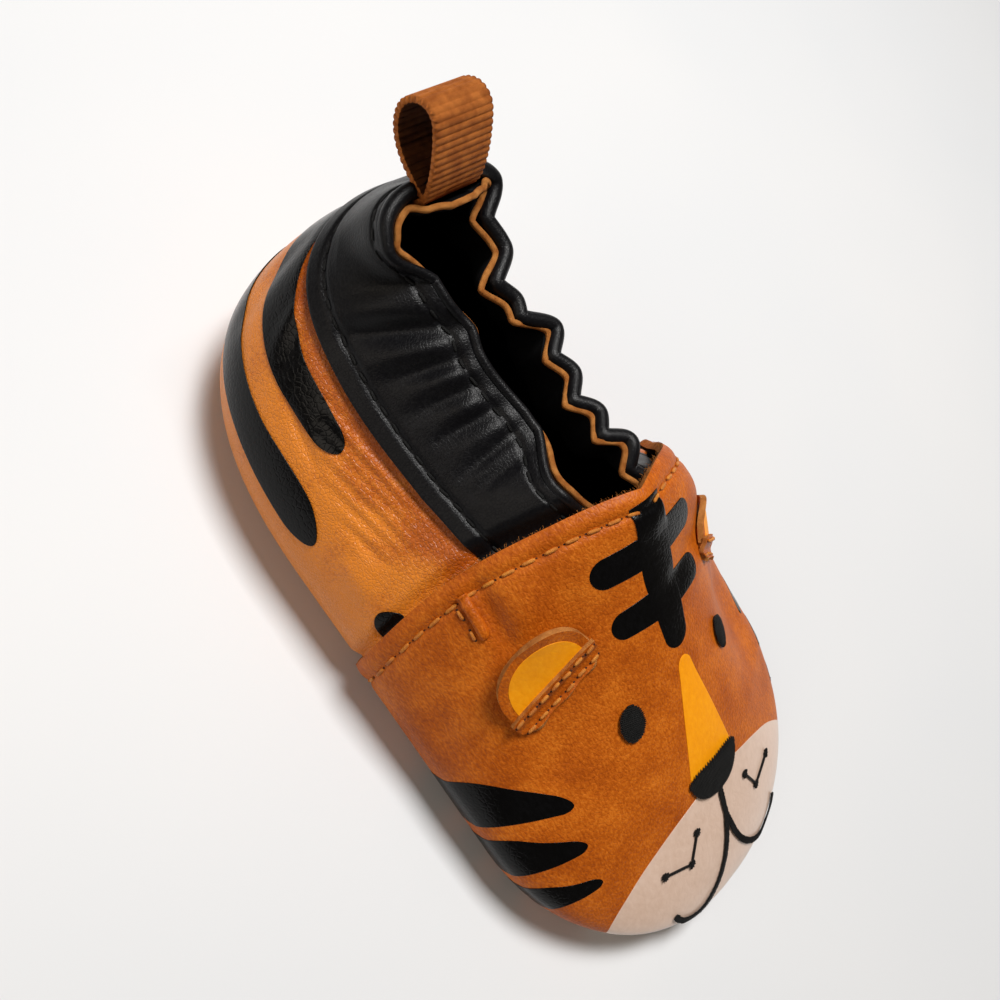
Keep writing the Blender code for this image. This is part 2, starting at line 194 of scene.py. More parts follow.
def last_normal(turn, climb):
    """Outward directions of the last on the +X side."""
    turn, climb = np.broadcast_arrays(np.asarray(turn, float), np.asarray(climb, float))
    step = 0.002
    up = last(turn, np.clip(climb + step, 0, 2)) - last(turn, np.clip(climb - step, 0, 2))
    along = last(np.clip(turn + step, 0, 3), climb) - last(np.clip(turn - step, 0, 3), climb)
    zero = np.zeros_like(turn)
    normal = np.cross(along, up)
    on_crown = np.stack([zero, -along[..., 2], along[..., 1]], axis=-1)
    at_toe = np.stack([zero, -up[..., 2], up[..., 1]], axis=-1)
    at_heel = np.stack([zero, up[..., 2], -up[..., 1]], axis=-1)
    normal = np.where((climb >= 2.0)[..., None], on_crown, normal)
    normal = np.where((turn <= 0.0)[..., None], at_toe, normal)
    normal = np.where((turn >= 3.0)[..., None], at_heel, normal)
    return unit(normal)


def skin(turn, climb, lift, side):
    """Points at a height over the last. side is 1 on the wearer's left and -1 on the right."""
    points = last(turn, climb) + last_normal(turn, climb) * np.asarray(lift)[..., None]
    points[..., 0] *= side
    return points


def edge_turn(climb):
    """The turn of the vamp's rear edge."""
    return 1.0 + (read_column(VAMP_EDGE, "y", climb) - TOE_ROUND_START) / SIDE_LENGTH


def climb_step(turn, climb, length):
    """The change of climb that covers a length up the wall."""
    step = 0.01
    reach = np.linalg.norm(last(turn, climb + step) - last(turn, climb - step), axis=-1)
    return 2 * step * length / reach


# Making and keeping pieces


def sheet(columns, rows, place):
    """A grid of faces whose corners place(u, v) gives, with u from -1 to 1 and v from 0 to 1."""
    bm = bmesh.new()
    bm.loops.layers.uv.new("UVMap")
    bmesh.ops.create_grid(bm, x_segments=columns, y_segments=rows, size=1.0, calc_uvs=True)
    u = np.array([vert.co.x for vert in bm.verts])
    v = np.array([vert.co.y for vert in bm.verts]) / 2 + 0.5
    for vert, point in zip(bm.verts, place(u, v)):
        vert.co = point
    bmesh.ops.remove_doubles(bm, verts=bm.verts, dist=WELD)
    return bm


def film(columns, rows, place):
    """A sheet whose outermost faces are narrow, so that its edge stays crisp and its middle flat."""

    def ease(share):
        return np.sign(share) * (1.0 - (1.0 - np.abs(share)) ** 2)

    return sheet(columns, rows, lambda u, v: place(ease(u), ease(2 * v - 1) / 2 + 0.5))


def put_in_scene(name, data):
    made = bpy.data.objects.new(name, data)
    bpy.context.scene.collection.objects.link(made)
    return made


def sided(name, side):
    return name + ("_left" if side > 0 else "_right")


def keep(bm, name, materials, nodes=(), wall=0.0, bevel=0.0, flip=False):
    """Makes a bmesh a finished piece. materials are for the outer side, the inner side and the rim."""
    if flip:
        bmesh.ops.reverse_faces(bm, faces=bm.faces)
    bmesh.ops.scale(bm, vec=(MM, MM, MM), verts=bm.verts)
    mesh = bpy.data.meshes.new(name)
    bm.to_mesh(mesh)
    bm.free()
    for material in materials:
        mesh.materials.append(material)
    mesh.shade_smooth()
    piece = put_in_scene(name, mesh)
    if wall:
        solidify = piece.modifiers.new("Wall", "SOLIDIFY")
        solidify.thickness = wall * MM
        solidify.offset = -1.0
        solidify.material_offset = min(1, len(materials) - 1)
        solidify.material_offset_rim = len(materials) - 1
    if bevel:
        rounding = piece.modifiers.new("Edges", "BEVEL")
        rounding.width = bevel * MM
        rounding.segments = 4
        rounding.limit_method = "ANGLE"
        rounding.angle_limit = BEVEL_ANGLE
    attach(piece, "root")
    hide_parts(*nodes)
    return piece


def add_thread(bm, start, end, up, radius, flat=1.0, around=6, rings=5):
    """A short thread between two points: a ball drawn out along its length, with blunt ends."""
    start = np.asarray(start, float)
    end = np.asarray(end, float)
    along = (end - start) / 2
    across = unit(np.cross(along, up))
    over = unit(np.cross(along, across))
    ball = bmesh.ops.create_uvsphere(bm, u_segments=around, v_segments=rings, radius=1.0)["verts"]
    for vert in ball:
        x, y, z = vert.co
        reach = math.copysign(abs(z) ** THREAD_BLUNTNESS, z)
        vert.co = (start + end) / 2 + along * reach + across * (radius * x) + over * (radius * flat * y)


def lengths_along(line):
    """Distance of each point of a line from its start."""
    return np.concatenate([[0.0], np.cumsum(np.linalg.norm(np.diff(line, axis=0), axis=1))])


def walk(line, values, distances):
    """Values given at a line's points, read at distances along it."""
    lengths = lengths_along(line)
    columns = [np.interp(distances, lengths, column) for column in values.T]
    return np.stack(columns, axis=-1)


def smooth_path(points, step):
    """Evenly spaced points on a curve that rounds the corners of a few given ones."""
    points = np.array(points, float)
    for _ in range(4):
        near = 0.75 * points[:-1] + 0.25 * points[1:]
        far = 0.25 * points[:-1] + 0.75 * points[1:]
        cut = np.stack([near, far], axis=1)
        points = np.concatenate([points[:1], cut.reshape(-1, points.shape[1]), points[-1:]])
    total = lengths_along(points)[-1]
    return walk(points, points, np.linspace(0.0, total, int(round(total / step)) + 1))


def sew(threads, holes, line, normals, pitch, stitch, radius):
    """Stitches along a line at an even pitch, with a dark mark of painted shade for the needle hole at each
    end.
    """
    total = lengths_along(line)[-1]
    count = int(total // pitch)
    for number in range(count):
        first = (number + 0.5) * total / count - stitch / 2 + draw.normal(0.0, STITCH_SLIP)
        ends = walk(line, line, [first, first + stitch])
        up = walk(line, normals, [first])[0]
        along = (ends[1] - ends[0]) / stitch
        across = np.cross(up, along) * draw.normal(0.0, STITCH_SWAY, (2, 1))
        ends = ends + across
        raised = ends + up * STITCH_LIFT
        add_thread(threads, raised[0], raised[1], up, radius, STITCH_FLATNESS)
        # A dark mark at each end of the stitch is painted shade standing in for its needle hole.
        for end, way in zip(ends, (-1.0, 1.0)):
            middle = end + along * way * radius * HOLE_PLACE
            reach = along * radius * HOLE_REACH
            add_thread(holes, middle - reach, middle + reach, up, radius * HOLE_WIDTH, HOLE_FLATNESS)


# Node helpers and finishes


def node(tree, kind, inputs=None, **settings):
    """Adds a node, sets its own settings, and sets or links its inputs by name."""
    made = tree.nodes.new(kind)
    for key, value in settings.items():
        setattr(made, key, value)
    for key, value in (inputs or {}).items():
        if isinstance(value, bpy.types.NodeSocket):
            tree.links.new(value, made.inputs[key])
        else:
            made.inputs[key].default_value = value
    return made


def math_node(tree, operation, first, second, third=0.0):
    return node(tree, "ShaderNodeMath", {0: first, 1: second, 2: third}, operation=operation).outputs[0]


def scaled(tree, place, factors):
    return node(tree, "ShaderNodeVectorMath", {0: place, 1: factors}, operation="MULTIPLY").outputs[0]


def tone_ramp(tree, tone, *stops):
    """A colour for each tone, from (place, colour) stops."""
    made = node(tree, "ShaderNodeValToRGB", {"Fac": tone})
    elements = made.color_ramp.elements
    while len(elements) < len(stops):
        elements.new(1.0)
    for element, (place, color) in zip(elements, stops):
        element.position = place
        element.color = (*color, 1.0)
    return made.outputs["Color"]


def new_group(name, inputs, outputs):
    """A node group with float inputs, each with its own start value, and float outputs."""
    tree = bpy.data.node_groups.new(name, "ShaderNodeTree")
    for key, value in inputs.items():
        tree.interface.new_socket(key, in_out="INPUT", socket_type="NodeSocketFloat").default_value = value
    for key in outputs:
        tree.interface.new_socket(key, in_out="OUTPUT", socket_type="NodeSocketFloat")
    return tree, tree.nodes.new("NodeGroupInput").outputs, tree.nodes.new("NodeGroupOutput").inputs


def make_hide_group():
    """Leather: fine fibres, grain cells, soft mottling and wrinkles, with a height for the bump."""
    tree, given, result = new_group(
        "hide",
        {"Fibre Size": 0.4, "Cell Size": 0.8, "Stretch": 0.4, "Wrinkle": 0.0},
        ("Tone", "Mottle", "Height"),
    )
    place = node(tree, "ShaderNodeTexCoord").outputs["Object"]
    stretch = node(tree, "ShaderNodeCombineXYZ", {"X": 1.0, "Y": given["Stretch"], "Z": 1.0}).outputs[0]
    drawn = scaled(tree, place, stretch)
    fibre_scale = math_node(tree, "DIVIDE", 1 / MM, given["Fibre Size"])
    cell_scale = math_node(tree, "DIVIDE", 1 / MM, given["Cell Size"])
    strands = {"Vector": drawn, "Scale": fibre_scale, "Detail": 3.0, "Roughness": 0.6}
    fibre = node(tree, "ShaderNodeTexNoise", strands)
    pebbles = {"Vector": place, "Scale": cell_scale}
    cells = node(tree, "ShaderNodeTexVoronoi", pebbles, feature="DISTANCE_TO_EDGE")
    mottle = node(tree, "ShaderNodeTexNoise", {"Vector": place, "Scale": 0.16 / MM, "Detail": 3.0})
    long_way = scaled(tree, place, (1.0, 0.3, 1.0))
    folds = {"Vector": long_way, "Scale": 0.3 / MM, "Detail": 2.0, "Distortion": 0.6}
    wrinkle = node(tree, "ShaderNodeTexNoise", folds, noise_type="RIDGED_MULTIFRACTAL")
    tree.links.new(fibre.outputs["Fac"], result["Tone"])
    tree.links.new(mottle.outputs["Fac"], result["Mottle"])
    low = math_node(tree, "MINIMUM", math_node(tree, "MULTIPLY", cells.outputs["Distance"], 3.0), 0.5)
    high = math_node(tree, "MULTIPLY_ADD", fibre.outputs["Fac"], 0.6, low)
    folded = math_node(tree, "MULTIPLY", wrinkle.outputs["Fac"], given["Wrinkle"])
    tree.links.new(math_node(tree, "SUBTRACT", high, folded), result["Height"])
    return tree


def make_weave_group():
    """Cloth: two crossing sets of fine yarns and a little unevenness."""
    tree, given, result = new_group("weave", {"Yarn Size": 0.35}, ("Tone", "Height"))
    place = node(tree, "ShaderNodeTexCoord").outputs["Object"]
    scale = math_node(tree, "DIVIDE", 1 / MM, given["Yarn Size"])
    yarn = {"Vector": place, "Scale": scale, "Distortion": 1.5}
    ways = [node(tree, "ShaderNodeTexWave", yarn, bands_direction=way).outputs["Fac"] for way in "XY"]
    uneven = node(tree, "ShaderNodeTexNoise", {"Vector": place, "Scale": 0.6 / MM, "Detail": 3.0})
    cross = math_node(tree, "MAXIMUM", *ways)
    tree.links.new(uneven.outputs["Fac"], result["Tone"])
    tree.links.new(cross, result["Height"])
    return tree


def new_material(name, roughness, **constants):
    """A material with its shader's constant sockets set. Names take _ for a space."""
    material = bpy.data.materials.new(name)
    material.use_nodes = True
    tree = material.node_tree
    shader = tree.nodes["Principled BSDF"]
    shader.inputs["Roughness"].default_value = roughness
    for key, value in constants.items():
        shader.inputs[key.replace("_", " ")].default_value = value
    return material, tree, shader


def link_bump(tree, shader, height, depth):
    """A bump of a depth in millimetres."""
    made = node(tree, "ShaderNodeBump", {"Strength": 1.0, "Distance": depth * MM, "Height": height})
    tree.links.new(made.outputs[0], shader.inputs["Normal"])


def use_group(tree, group, **values):
    made = tree.nodes.new("ShaderNodeGroup")
    made.node_tree = group
    for key, value in values.items():
        made.inputs[key.replace("_", " ")].default_value = value
    return made.outputs


def hide_finish(
    name, dark, middle, light, roughness, depth, fibre, cell,
    stretch=0.4, wrinkle=0.0, speckle=0.7, mottle=0.35, painted_light_below=0.0, **constants
):
    """A leather or printed leather in three tones, with painted light that makes it paler below a height in
    millimetres and slightly darker above it.
    """
    material, tree, shader = new_material(name, roughness, **constants)
    grain = use_group(tree, hide, Fibre_Size=fibre, Cell_Size=cell, Stretch=stretch, Wrinkle=wrinkle)
    fibre_part = math_node(tree, "MULTIPLY_ADD", grain["Tone"], speckle, 0.5 - 0.5 * speckle)
    mottle_part = math_node(tree, "MULTIPLY_ADD", grain["Mottle"], mottle, -0.5 * mottle)
    tone = math_node(tree, "ADD", fibre_part, mottle_part)
    # Painted light and shade: the tone is raised low on the wall as a painted highlight and lowered slightly
    # higher up as painted shade.
    if painted_light_below:
        place = node(tree, "ShaderNodeTexCoord").outputs["Object"]
        height = node(tree, "ShaderNodeSeparateXYZ", {0: place}).outputs["Z"]
        heights = {"Value": height, "From Min": 0.6 * painted_light_below * MM, "From Max": painted_light_below * MM}
        tones = {"To Min": 0.18, "To Max": -0.05}
        pale = node(tree, "ShaderNodeMapRange", {**heights, **tones}, interpolation_type="SMOOTHSTEP")
        tone = math_node(tree, "ADD", tone, pale.outputs[0])
    color = tone_ramp(tree, tone, (0.34, dark), (0.5, middle), (0.66, light))
    tree.links.new(color, shader.inputs["Base Color"])
    spread = math_node(tree, "MULTIPLY_ADD", grain["Tone"], 0.25, roughness - 0.125)
    tree.links.new(spread, shader.inputs["Roughness"])
    link_bump(tree, shader, grain["Height"], depth)
    return material


def cloth_finish(name, dark, light, roughness, depth, yarn, **constants):
    """A woven or fibrous finish in two tones."""
    material, tree, shader = new_material(name, roughness, **constants)
    cloth = use_group(tree, weave, Yarn_Size=yarn)
    color = tone_ramp(tree, cloth["Tone"], (0.35, dark), (0.65, light))
    tree.links.new(color, shader.inputs["Base Color"])
    link_bump(tree, shader, cloth["Height"], depth)
    return material


hide = make_hide_group()
weave = make_weave_group()

tan_leather = hide_finish(
    "tan_leather", (0.34, 0.064, 0.002), (0.48, 0.103, 0.004), (0.64, 0.168, 0.011),
    roughness=0.46, depth=0.06, fibre=0.30, cell=0.8, mottle=0.5, Specular_IOR_Level=0.2,
)
# The quarter's paler tone low on its wall is painted light, standing in for the lamp's sheen there.
quarter_leather = hide_finish(
    "quarter_leather", (0.32, 0.052, 0.001), (0.49, 0.104, 0.002), (0.80, 0.240, 0.016),
    roughness=0.38, depth=0.11, fibre=0.5, cell=0.55, stretch=1.0, wrinkle=2.4, speckle=0.3, painted_light_below=30.0,
    Specular_IOR_Level=0.4, Coat_Weight=0.08, Coat_Roughness=0.3,
)
black_leather = hide_finish(
    "black_leather", (0.002, 0.002, 0.003), (0.003, 0.003, 0.004), (0.006, 0.006, 0.007),
    roughness=0.38, depth=0.03, fibre=0.5, cell=0.45, stretch=1.0, wrinkle=0.4, Specular_IOR_Level=0.2,
)
black_print = hide_finish(
    "black_print", (0.0010, 0.0010, 0.0012), (0.0015, 0.0015, 0.0018), (0.0025, 0.0025, 0.0030),
    roughness=0.22, depth=0.03, fibre=0.6, cell=0.8, wrinkle=0.6, Specular_IOR_Level=0.2,
)
yellow_print = hide_finish(
    "yellow_print", (0.93, 0.32, 0.002), (0.97, 0.35, 0.003), (1.0, 0.39, 0.006),
    roughness=0.48, depth=0.02, fibre=0.6, cell=1.2, Specular_IOR_Level=0.25,
)
muzzle_print = hide_finish(
    "muzzle_print", (0.73, 0.52, 0.40), (0.77, 0.56, 0.44), (0.81, 0.60, 0.48),
    roughness=0.34, depth=0.02, fibre=0.8, cell=1.4, Coat_Weight=0.4, Coat_Roughness=0.15,
)
black_thread = cloth_finish(
    "black_thread", (0.002, 0.002, 0.002), (0.006, 0.006, 0.006), 0.55, 0.04, 0.25, Specular_IOR_Level=0.3
)
tan_thread = cloth_finish("tan_thread", (0.54, 0.15, 0.010), (0.80, 0.30, 0.034), 0.5, 0.04, 0.25)
raw_edge = cloth_finish(
    "raw_edge", (0.44, 0.14, 0.025), (0.72, 0.29, 0.07), 0.9, 0.10, 0.3, Specular_IOR_Level=0.2
)
# Painted shade: this dark colour stands in for the shade inside the needle holes.
needle_hole_painted_shade = cloth_finish("needle_hole_painted_shade", (0.04, 0.010, 0.002), (0.09, 0.022, 0.004), 0.9, 0.03, 0.3)
lining_cloth = cloth_finish(
    "lining_cloth", (0.003, 0.003, 0.004), (0.006, 0.006, 0.007), 0.85, 0.05, 0.4, Specular_IOR_Level=0.15
)
ribbon_cloth = cloth_finish(
    "ribbon_cloth", (0.36, 0.095, 0.012), (0.56, 0.17, 0.028), 0.75, 0.05, 0.22, Specular_IOR_Level=0.25
)
# Painted shade: the ribbon's back, which lines the inside of the loop, is a darker copy of the ribbon's cloth
# that stands in for the shade inside the loop.
ribbon_back_painted_shade = cloth_finish(
    "ribbon_back_painted_shade", (0.10, 0.028, 0.006), (0.17, 0.05, 0.010), 0.8, 0.05, 0.22, Specular_IOR_Level=0.2
)
sole_suede = cloth_finish("sole_suede", (0.24, 0.11, 0.04), (0.40, 0.20, 0.08), 0.95, 0.08, 0.3)

# Creases pressed into the leather: negative depths are troughs
CREASE = "side turn_a climb_a turn_b climb_b width depth"
CREASE_END = 0.35
CREASE_MARGIN = 0.03
VAMP_CREASES = table(
    CREASE,
    (-1, 1.74, 1.475, 1.52, 1.47, 1.5, -0.9), (1, 1.74, 1.475, 1.54, 1.47, 1.5, -0.8),
    (-1, 1.66, 1.56, 1.46, 1.54, 3.5, 0.5), (1, 1.66, 1.56, 1.48, 1.53, 3.5, 0.4),
    (-1, 1.45, 1.40, 1.25, 1.30, 4.0, 0.5), (-1, 1.22, 1.62, 1.10, 1.35, 3.0, -0.35),
    (1, 1.20, 1.58, 1.12, 1.36, 3.0, -0.3), (-1, 1.50, 1.20, 1.30, 1.08, 3.0, -0.4),
    (1, 1.48, 1.22, 1.28, 1.10, 3.0, -0.4), (1, 1.80, 1.70, 1.46, 1.56, 9.0, 2.6),
    (1, 1.26, 1.45, 0.82, 1.40, 9.0, -2.6), (1, 1.36, 1.99, 1.43, 1.72, 1.8, -0.45),
    (1, 1.30, 1.90, 1.35, 1.66, 2.2, 0.3),
)
QUARTER_CREASES = table(
    CREASE,
    (-1, 2.53, 1.43, 2.40, 1.34, 1.6, -0.3), (-1, 2.56, 1.41, 2.44, 1.30, 1.2, 0.3),
    (-1, 2.26, 1.42, 1.88, 1.49, 0.8, -0.50), (-1, 2.22, 1.385, 1.88, 1.46, 0.8, -0.46),
    (-1, 2.20, 1.36, 1.87, 1.43, 0.8, -0.42), (-1, 2.14, 1.335, 1.88, 1.395, 0.8, -0.40),
    (-1, 2.10, 1.305, 1.90, 1.36, 0.8, -0.34), (-1, 2.04, 1.28, 1.90, 1.32, 0.8, -0.28),
    (-1, 2.30, 1.30, 2.12, 1.30, 1.0, -0.35), (-1, 2.00, 1.24, 1.84, 1.20, 2.5, 0.5),
    (1, 2.50, 1.42, 2.38, 1.33, 1.6, -0.3), (1, 2.24, 1.41, 1.88, 1.48, 0.8, -0.32),
    (1, 2.18, 1.37, 1.90, 1.44, 0.8, -0.28), (1, 2.12, 1.33, 1.90, 1.40, 0.7, -0.24),
    (-1, 2.78, 1.32, 2.58, 1.12, 2.2, -0.5), (1, 2.74, 1.30, 2.54, 1.10, 2.2, -0.5),
)


def press_creases(creases, turn, climb, side):
    """The height that a table of creases gives the leather at each place."""
    places = skin(turn, climb, 0.0, side)
    height = np.zeros_like(turn)
    for crease in creases:
        ends = last([crease.turn_a, crease.turn_b], [crease.climb_a, crease.climb_b])
        ends[:, 0] *= crease.side
        line = ends[1] - ends[0]
        share = np.clip((places - ends[0]) @ line / (line @ line), 0.0, 1.0)
        away = np.linalg.norm(places - ends[0] - share[..., None] * line, axis=-1)
        arch = np.sin(math.pi * np.clip(share, CREASE_MARGIN, 1.0 - CREASE_MARGIN))
        taper = CREASE_END + (1.0 - CREASE_END) * arch
        height = height + crease.depth * taper * np.exp(-((away / crease.width) ** 2))
    return height


# Vamp
VAMP_WALL = 1.4
HEM_WIDTH = 3.2
TOE_COLUMN_SHARE = 0.46
TUCK_ROW_SHARE = 0.16
REAR_CROWDING = 1.5
HEM_RISE = 0.25
HEM_RISE_PLACE = 1.3
HEM_RISE_SPREAD = 1.1
HEM_GROOVE = 0.35
HEM_GROOVE_SPREAD = 0.55
PLEAT_HALF_WIDTH = 3.3
PLEAT_LENGTH = 8.0
PLEAT_HEIGHT = 0.35
PLEAT_EDGE = 0.25
PLEAT_FADE = 3.0
PLEAT_LOWEST = 1.5
HEM_STEP = 0.6
THROAT_SLUMP = np.array((-0.8, -2.2, -1.4))
SLUMP_TURNS = (1.40, 1.72)
SLUMP_CLIMB = 1.50
SLUMP_SPREAD = 0.28


def rows_to_climb(v):
    above_tuck = (v - TUCK_ROW_SHARE) / (1.0 - TUCK_ROW_SHARE)
    return np.where(v < TUCK_ROW_SHARE, v / TUCK_ROW_SHARE, 1.0 + above_tuck)


def ahead_of_edge(turn, climb):
    """Distance from the vamp's rear edge towards the toe."""
    return (edge_turn(climb) - turn) * SIDE_LENGTH


def vamp_relief(turn, climb, side):
    """Hem, centre pleat and creases of the vamp."""
    ahead = ahead_of_edge(turn, climb)
    hem = HEM_RISE * hump(ahead, HEM_RISE_PLACE, HEM_RISE_SPREAD)
    hem = hem - HEM_GROOVE * hump(ahead, HEM_WIDTH, HEM_GROOVE_SPREAD)
    x = last(turn, climb)[..., 0]
    pleat = PLEAT_HEIGHT * ramp(PLEAT_HALF_WIDTH - x, -PLEAT_EDGE, PLEAT_EDGE)
    pleat = pleat * (1.0 - ramp(ahead, PLEAT_LENGTH - PLEAT_FADE, PLEAT_LENGTH))
    pleat = pleat * ramp(ahead, HEM_WIDTH - HEM_STEP, HEM_WIDTH + HEM_STEP)
    pleat = np.where(climb > PLEAT_LOWEST, pleat, 0.0)
    return hem + pleat + press_creases(VAMP_CREASES, turn, climb, side)


def vamp_skin(turn, climb, lift, side):
    """Points over the vamp, whose corner at the throat has slumped on the wearer's left."""
    points = skin(turn, climb, lift + vamp_relief(turn, climb, side), side)
    slump = (side > 0) * ramp(turn, *SLUMP_TURNS) * hump(climb, SLUMP_CLIMB, SLUMP_SPREAD)
    return points + np.asarray(slump)[..., None] * THROAT_SLUMP


def place_vamp(u, v):
    side = np.where(u < 0, -1.0, 1.0)
    climb = rows_to_climb(v)
    share = np.abs(u)
    reach = np.clip((share - TOE_COLUMN_SHARE) / (1.0 - TOE_COLUMN_SHARE), 0.0, 1.0)
    rear = 1.0 + (edge_turn(climb) - 1.0) * (1.0 - (1.0 - reach) ** REAR_CROWDING)
    turn = np.where(share < TOE_COLUMN_SHARE, share / TOE_COLUMN_SHARE, rear)
    return vamp_skin(turn, climb, 0.0, side)


vamp_mesh = sheet(260, 96, place_vamp)
vamp_surface = BVHTree.FromBMesh(vamp_mesh)
vamp_layers = (tan_leather, lining_cloth, raw_edge)
keep(vamp_mesh, "vamp", vamp_layers, ("upper",), VAMP_WALL, bevel=CUT_BEVEL)

# Face chart: x across and the distance down the mid-line from the throat to the toe
THROAT_Y = 2.5
THROAT_TURN = 1.0 + (THROAT_Y - TOE_ROUND_START) / SIDE_LENGTH
CHART_END = 0.6
CROWN_STEPS = 160
TOE_STEPS = 120
RAY_START = 15.0
profile_turn = np.concatenate([np.linspace(THROAT_TURN, 0.0, CROWN_STEPS), np.zeros(TOE_STEPS)])
profile_climb = np.concatenate([np.full(CROWN_STEPS, 2.0), np.linspace(2.0, CHART_END, TOE_STEPS)])
profile = last(profile_turn, profile_climb)
profile_down = lengths_along(profile)
profile_out = last_normal(profile_turn, profile_climb)


def touch_face(x, down):
    """The vamp's surface under a place of the face chart."""
    start = Vector([np.interp(down, profile_down, column) for column in profile.T])
    out = Vector([np.interp(down, profile_down, column) for column in profile_out.T]).normalized()
    above = start + Vector((x, 0.0, 0.0)) + out * RAY_START
    return vamp_surface.ray_cast(above, -out)[0]


def lay_on_face(bm):
    """Moves a flat pattern in (x, down, height) onto the vamp."""
    reach = 0.6
    for vert in bm.verts:
        x, down, height = vert.co
        point = touch_face(x, down)
        across = touch_face(x + reach, down) - touch_face(x - reach, down)
        downward = touch_face(x, down + reach) - touch_face(x, down - reach)
        vert.co = point + downward.cross(across).normalized() * height
    bmesh.ops.reverse_faces(bm, faces=bm.faces)


# Printed marks of the face
PRINT_LIFT = 0.06
PRINT_FILM = 0.12
OVERPRINT_LIFT = PRINT_LIFT + 0.01
UNDERPRINT_LIFT = PRINT_LIFT * 0.8
BAR_END_RADIUS = 2.2
WEDGE_TIP_RADIUS = 1.5
BAR = table(
    "down half_width",
    (HEM_WIDTH - 1.6, 3.2), (8.0, 3.3), (14.0, 3.4), (19.0, 3.0), (24.0, 2.6), (26.5, 2.3),
)
WEDGE = table(
    "down half_width",
    (28.4, 1.3), (31.0, 1.75), (38.0, 3.35), (48.5, 5.6),
)
CROSSBARS = table(
    "down half_length root end droop",
    (8.9, 11.0, 2.7, 2.3, 0.4), (17.8, 10.2, 2.6, 2.0, 0.2),
)


def round_end(place, end, radius):
    """Narrows a strip to a round end."""
    return np.sqrt(np.clip(1.0 - np.clip((place - (end - radius)) / radius, 0.0, 1.0) ** 2, 0.0, 1.0))


def print_strip(name, material, rows, start_radius, end_radius, lift):
    """A strip down the mid-line of the face, with widths from a table and round ends."""
    first = rows[0].down
    last_row = rows[-1].down

    def place(u, v):
        down = first + (last_row - first) * v
        width = read_column(rows, "half_width", down)
        if start_radius:
            width = width * round_end(-down, -first, start_radius)
        if end_radius:
            width = width * round_end(down, last_row, end_radius)
        return np.stack([width * u, down, np.full_like(u, lift)], axis=-1)

    bm = film(14, 60, place)
    lay_on_face(bm)
    keep(bm, name, (material,), wall=PRINT_FILM)


def print_crossbar(name, bar, lift):
    def place(u, v):
        x = bar.half_length * u
        width = bar.root + (bar.end - bar.root) * np.abs(u)
        width = width * round_end(np.abs(x), bar.half_length, bar.end)
        down = bar.down + bar.droop * u**2 + width * (2 * v - 1)
        return np.stack([x, down, np.full_like(u, lift)], axis=-1)

    bm = film(64, 12, place)
    lay_on_face(bm)
    keep(bm, name, (black_print,), wall=PRINT_FILM)


print_strip("forehead_bar", black_print, BAR, 0.0, BAR_END_RADIUS, OVERPRINT_LIFT)
for number, crossbar in enumerate(CROSSBARS):
    print_crossbar(f"forehead_crossbar_{number + 1}", crossbar, PRINT_LIFT)
print_strip("nose_bridge", yellow_print, WEDGE, WEDGE_TIP_RADIUS, 0.0, PRINT_LIFT)

MUZZLE_FOOT = 0.02
MUZZLE_EDGE = table(
    "climb turn",
    (0.0, 0.53), (1.05, 0.56), (1.32, 0.588), (1.55, 0.600), (1.77, 0.572), (1.88, 0.535), (2.0, 0.44),
)


def place_muzzle(u, v):
    side = np.where(u < 0, -1.0, 1.0)
    climb = rows_to_climb(MUZZLE_FOOT + (1.0 - MUZZLE_FOOT) * v)
    turn = np.abs(u) * read_column(MUZZLE_EDGE, "turn", climb)
    return vamp_skin(turn, climb, UNDERPRINT_LIFT, side)


keep(film(120, 80, place_muzzle), "muzzle", (muzzle_print,), wall=PRINT_FILM)

# Embroidery: satin threads drawn flat on the face chart, then laid on the leather
SATIN_RADIUS = 0.2
SATIN_PITCH = 0.3
SATIN_HEIGHT = 0.24
SATIN_RAGGED = 0.15
SATIN_LEAN = 0.05
EYE_PUFF = 0.2
EYE_REACH = 0.97
NOSE_PUFF = 0.3
NOSE_REACH = 0.98
NOSE_ROUNDNESS = 2.4
NOSE_RAGGED = 0.2
NOSE_THREAD = SATIN_RADIUS * 1.1
MOUTH_HEIGHT = SATIN_HEIGHT + 0.08
EYE_CENTRE = (12.0, 32.6)
EYE_HALF_WIDTH = 2.1
EYE_HALF_HEIGHT = 2.9
EYE_TILT = math.radians(12.0)
NOSE_TOP = 47.8
NOSE_HALF_WIDTH = 6.3
NOSE_DEPTH = 6.4
NOSE_JAG = 0.35
NOSE_SIDE = 0.7
NOSE_SHOULDER = 1.4
MOUTH_HALF_WIDTH = 0.5
PHILTRUM = ((0.0, 53.8), (0.0, 57.0), (0.0, 60.6))
MOUTH = ((0.1, 59.8), (1.2, 64.8), (3.8, 69.6), (8.2, 72.9), (11.4, 73.0), (13.8, 71.4), (15.0, 69.2))
WHISKER_DOTS = ((15.2, 59.9), (9.8, 61.9), (7.2, 57.4))
DOT_RADIUS = 0.85
DOT_THREADS = 5
DOT_SWAY = 0.15
DOT_STACK = 0.03
WHISKER_THREAD = SATIN_RADIUS * 1.2


def satin(bm, start, end, height, radius=SATIN_RADIUS):
    add_thread(bm, (*start, height), (*end, height), (0.0, 0.0, 1.0), radius)


def satin_steps(half):
    return np.linspace(-half, half, int(2 * half / SATIN_PITCH) + 1)


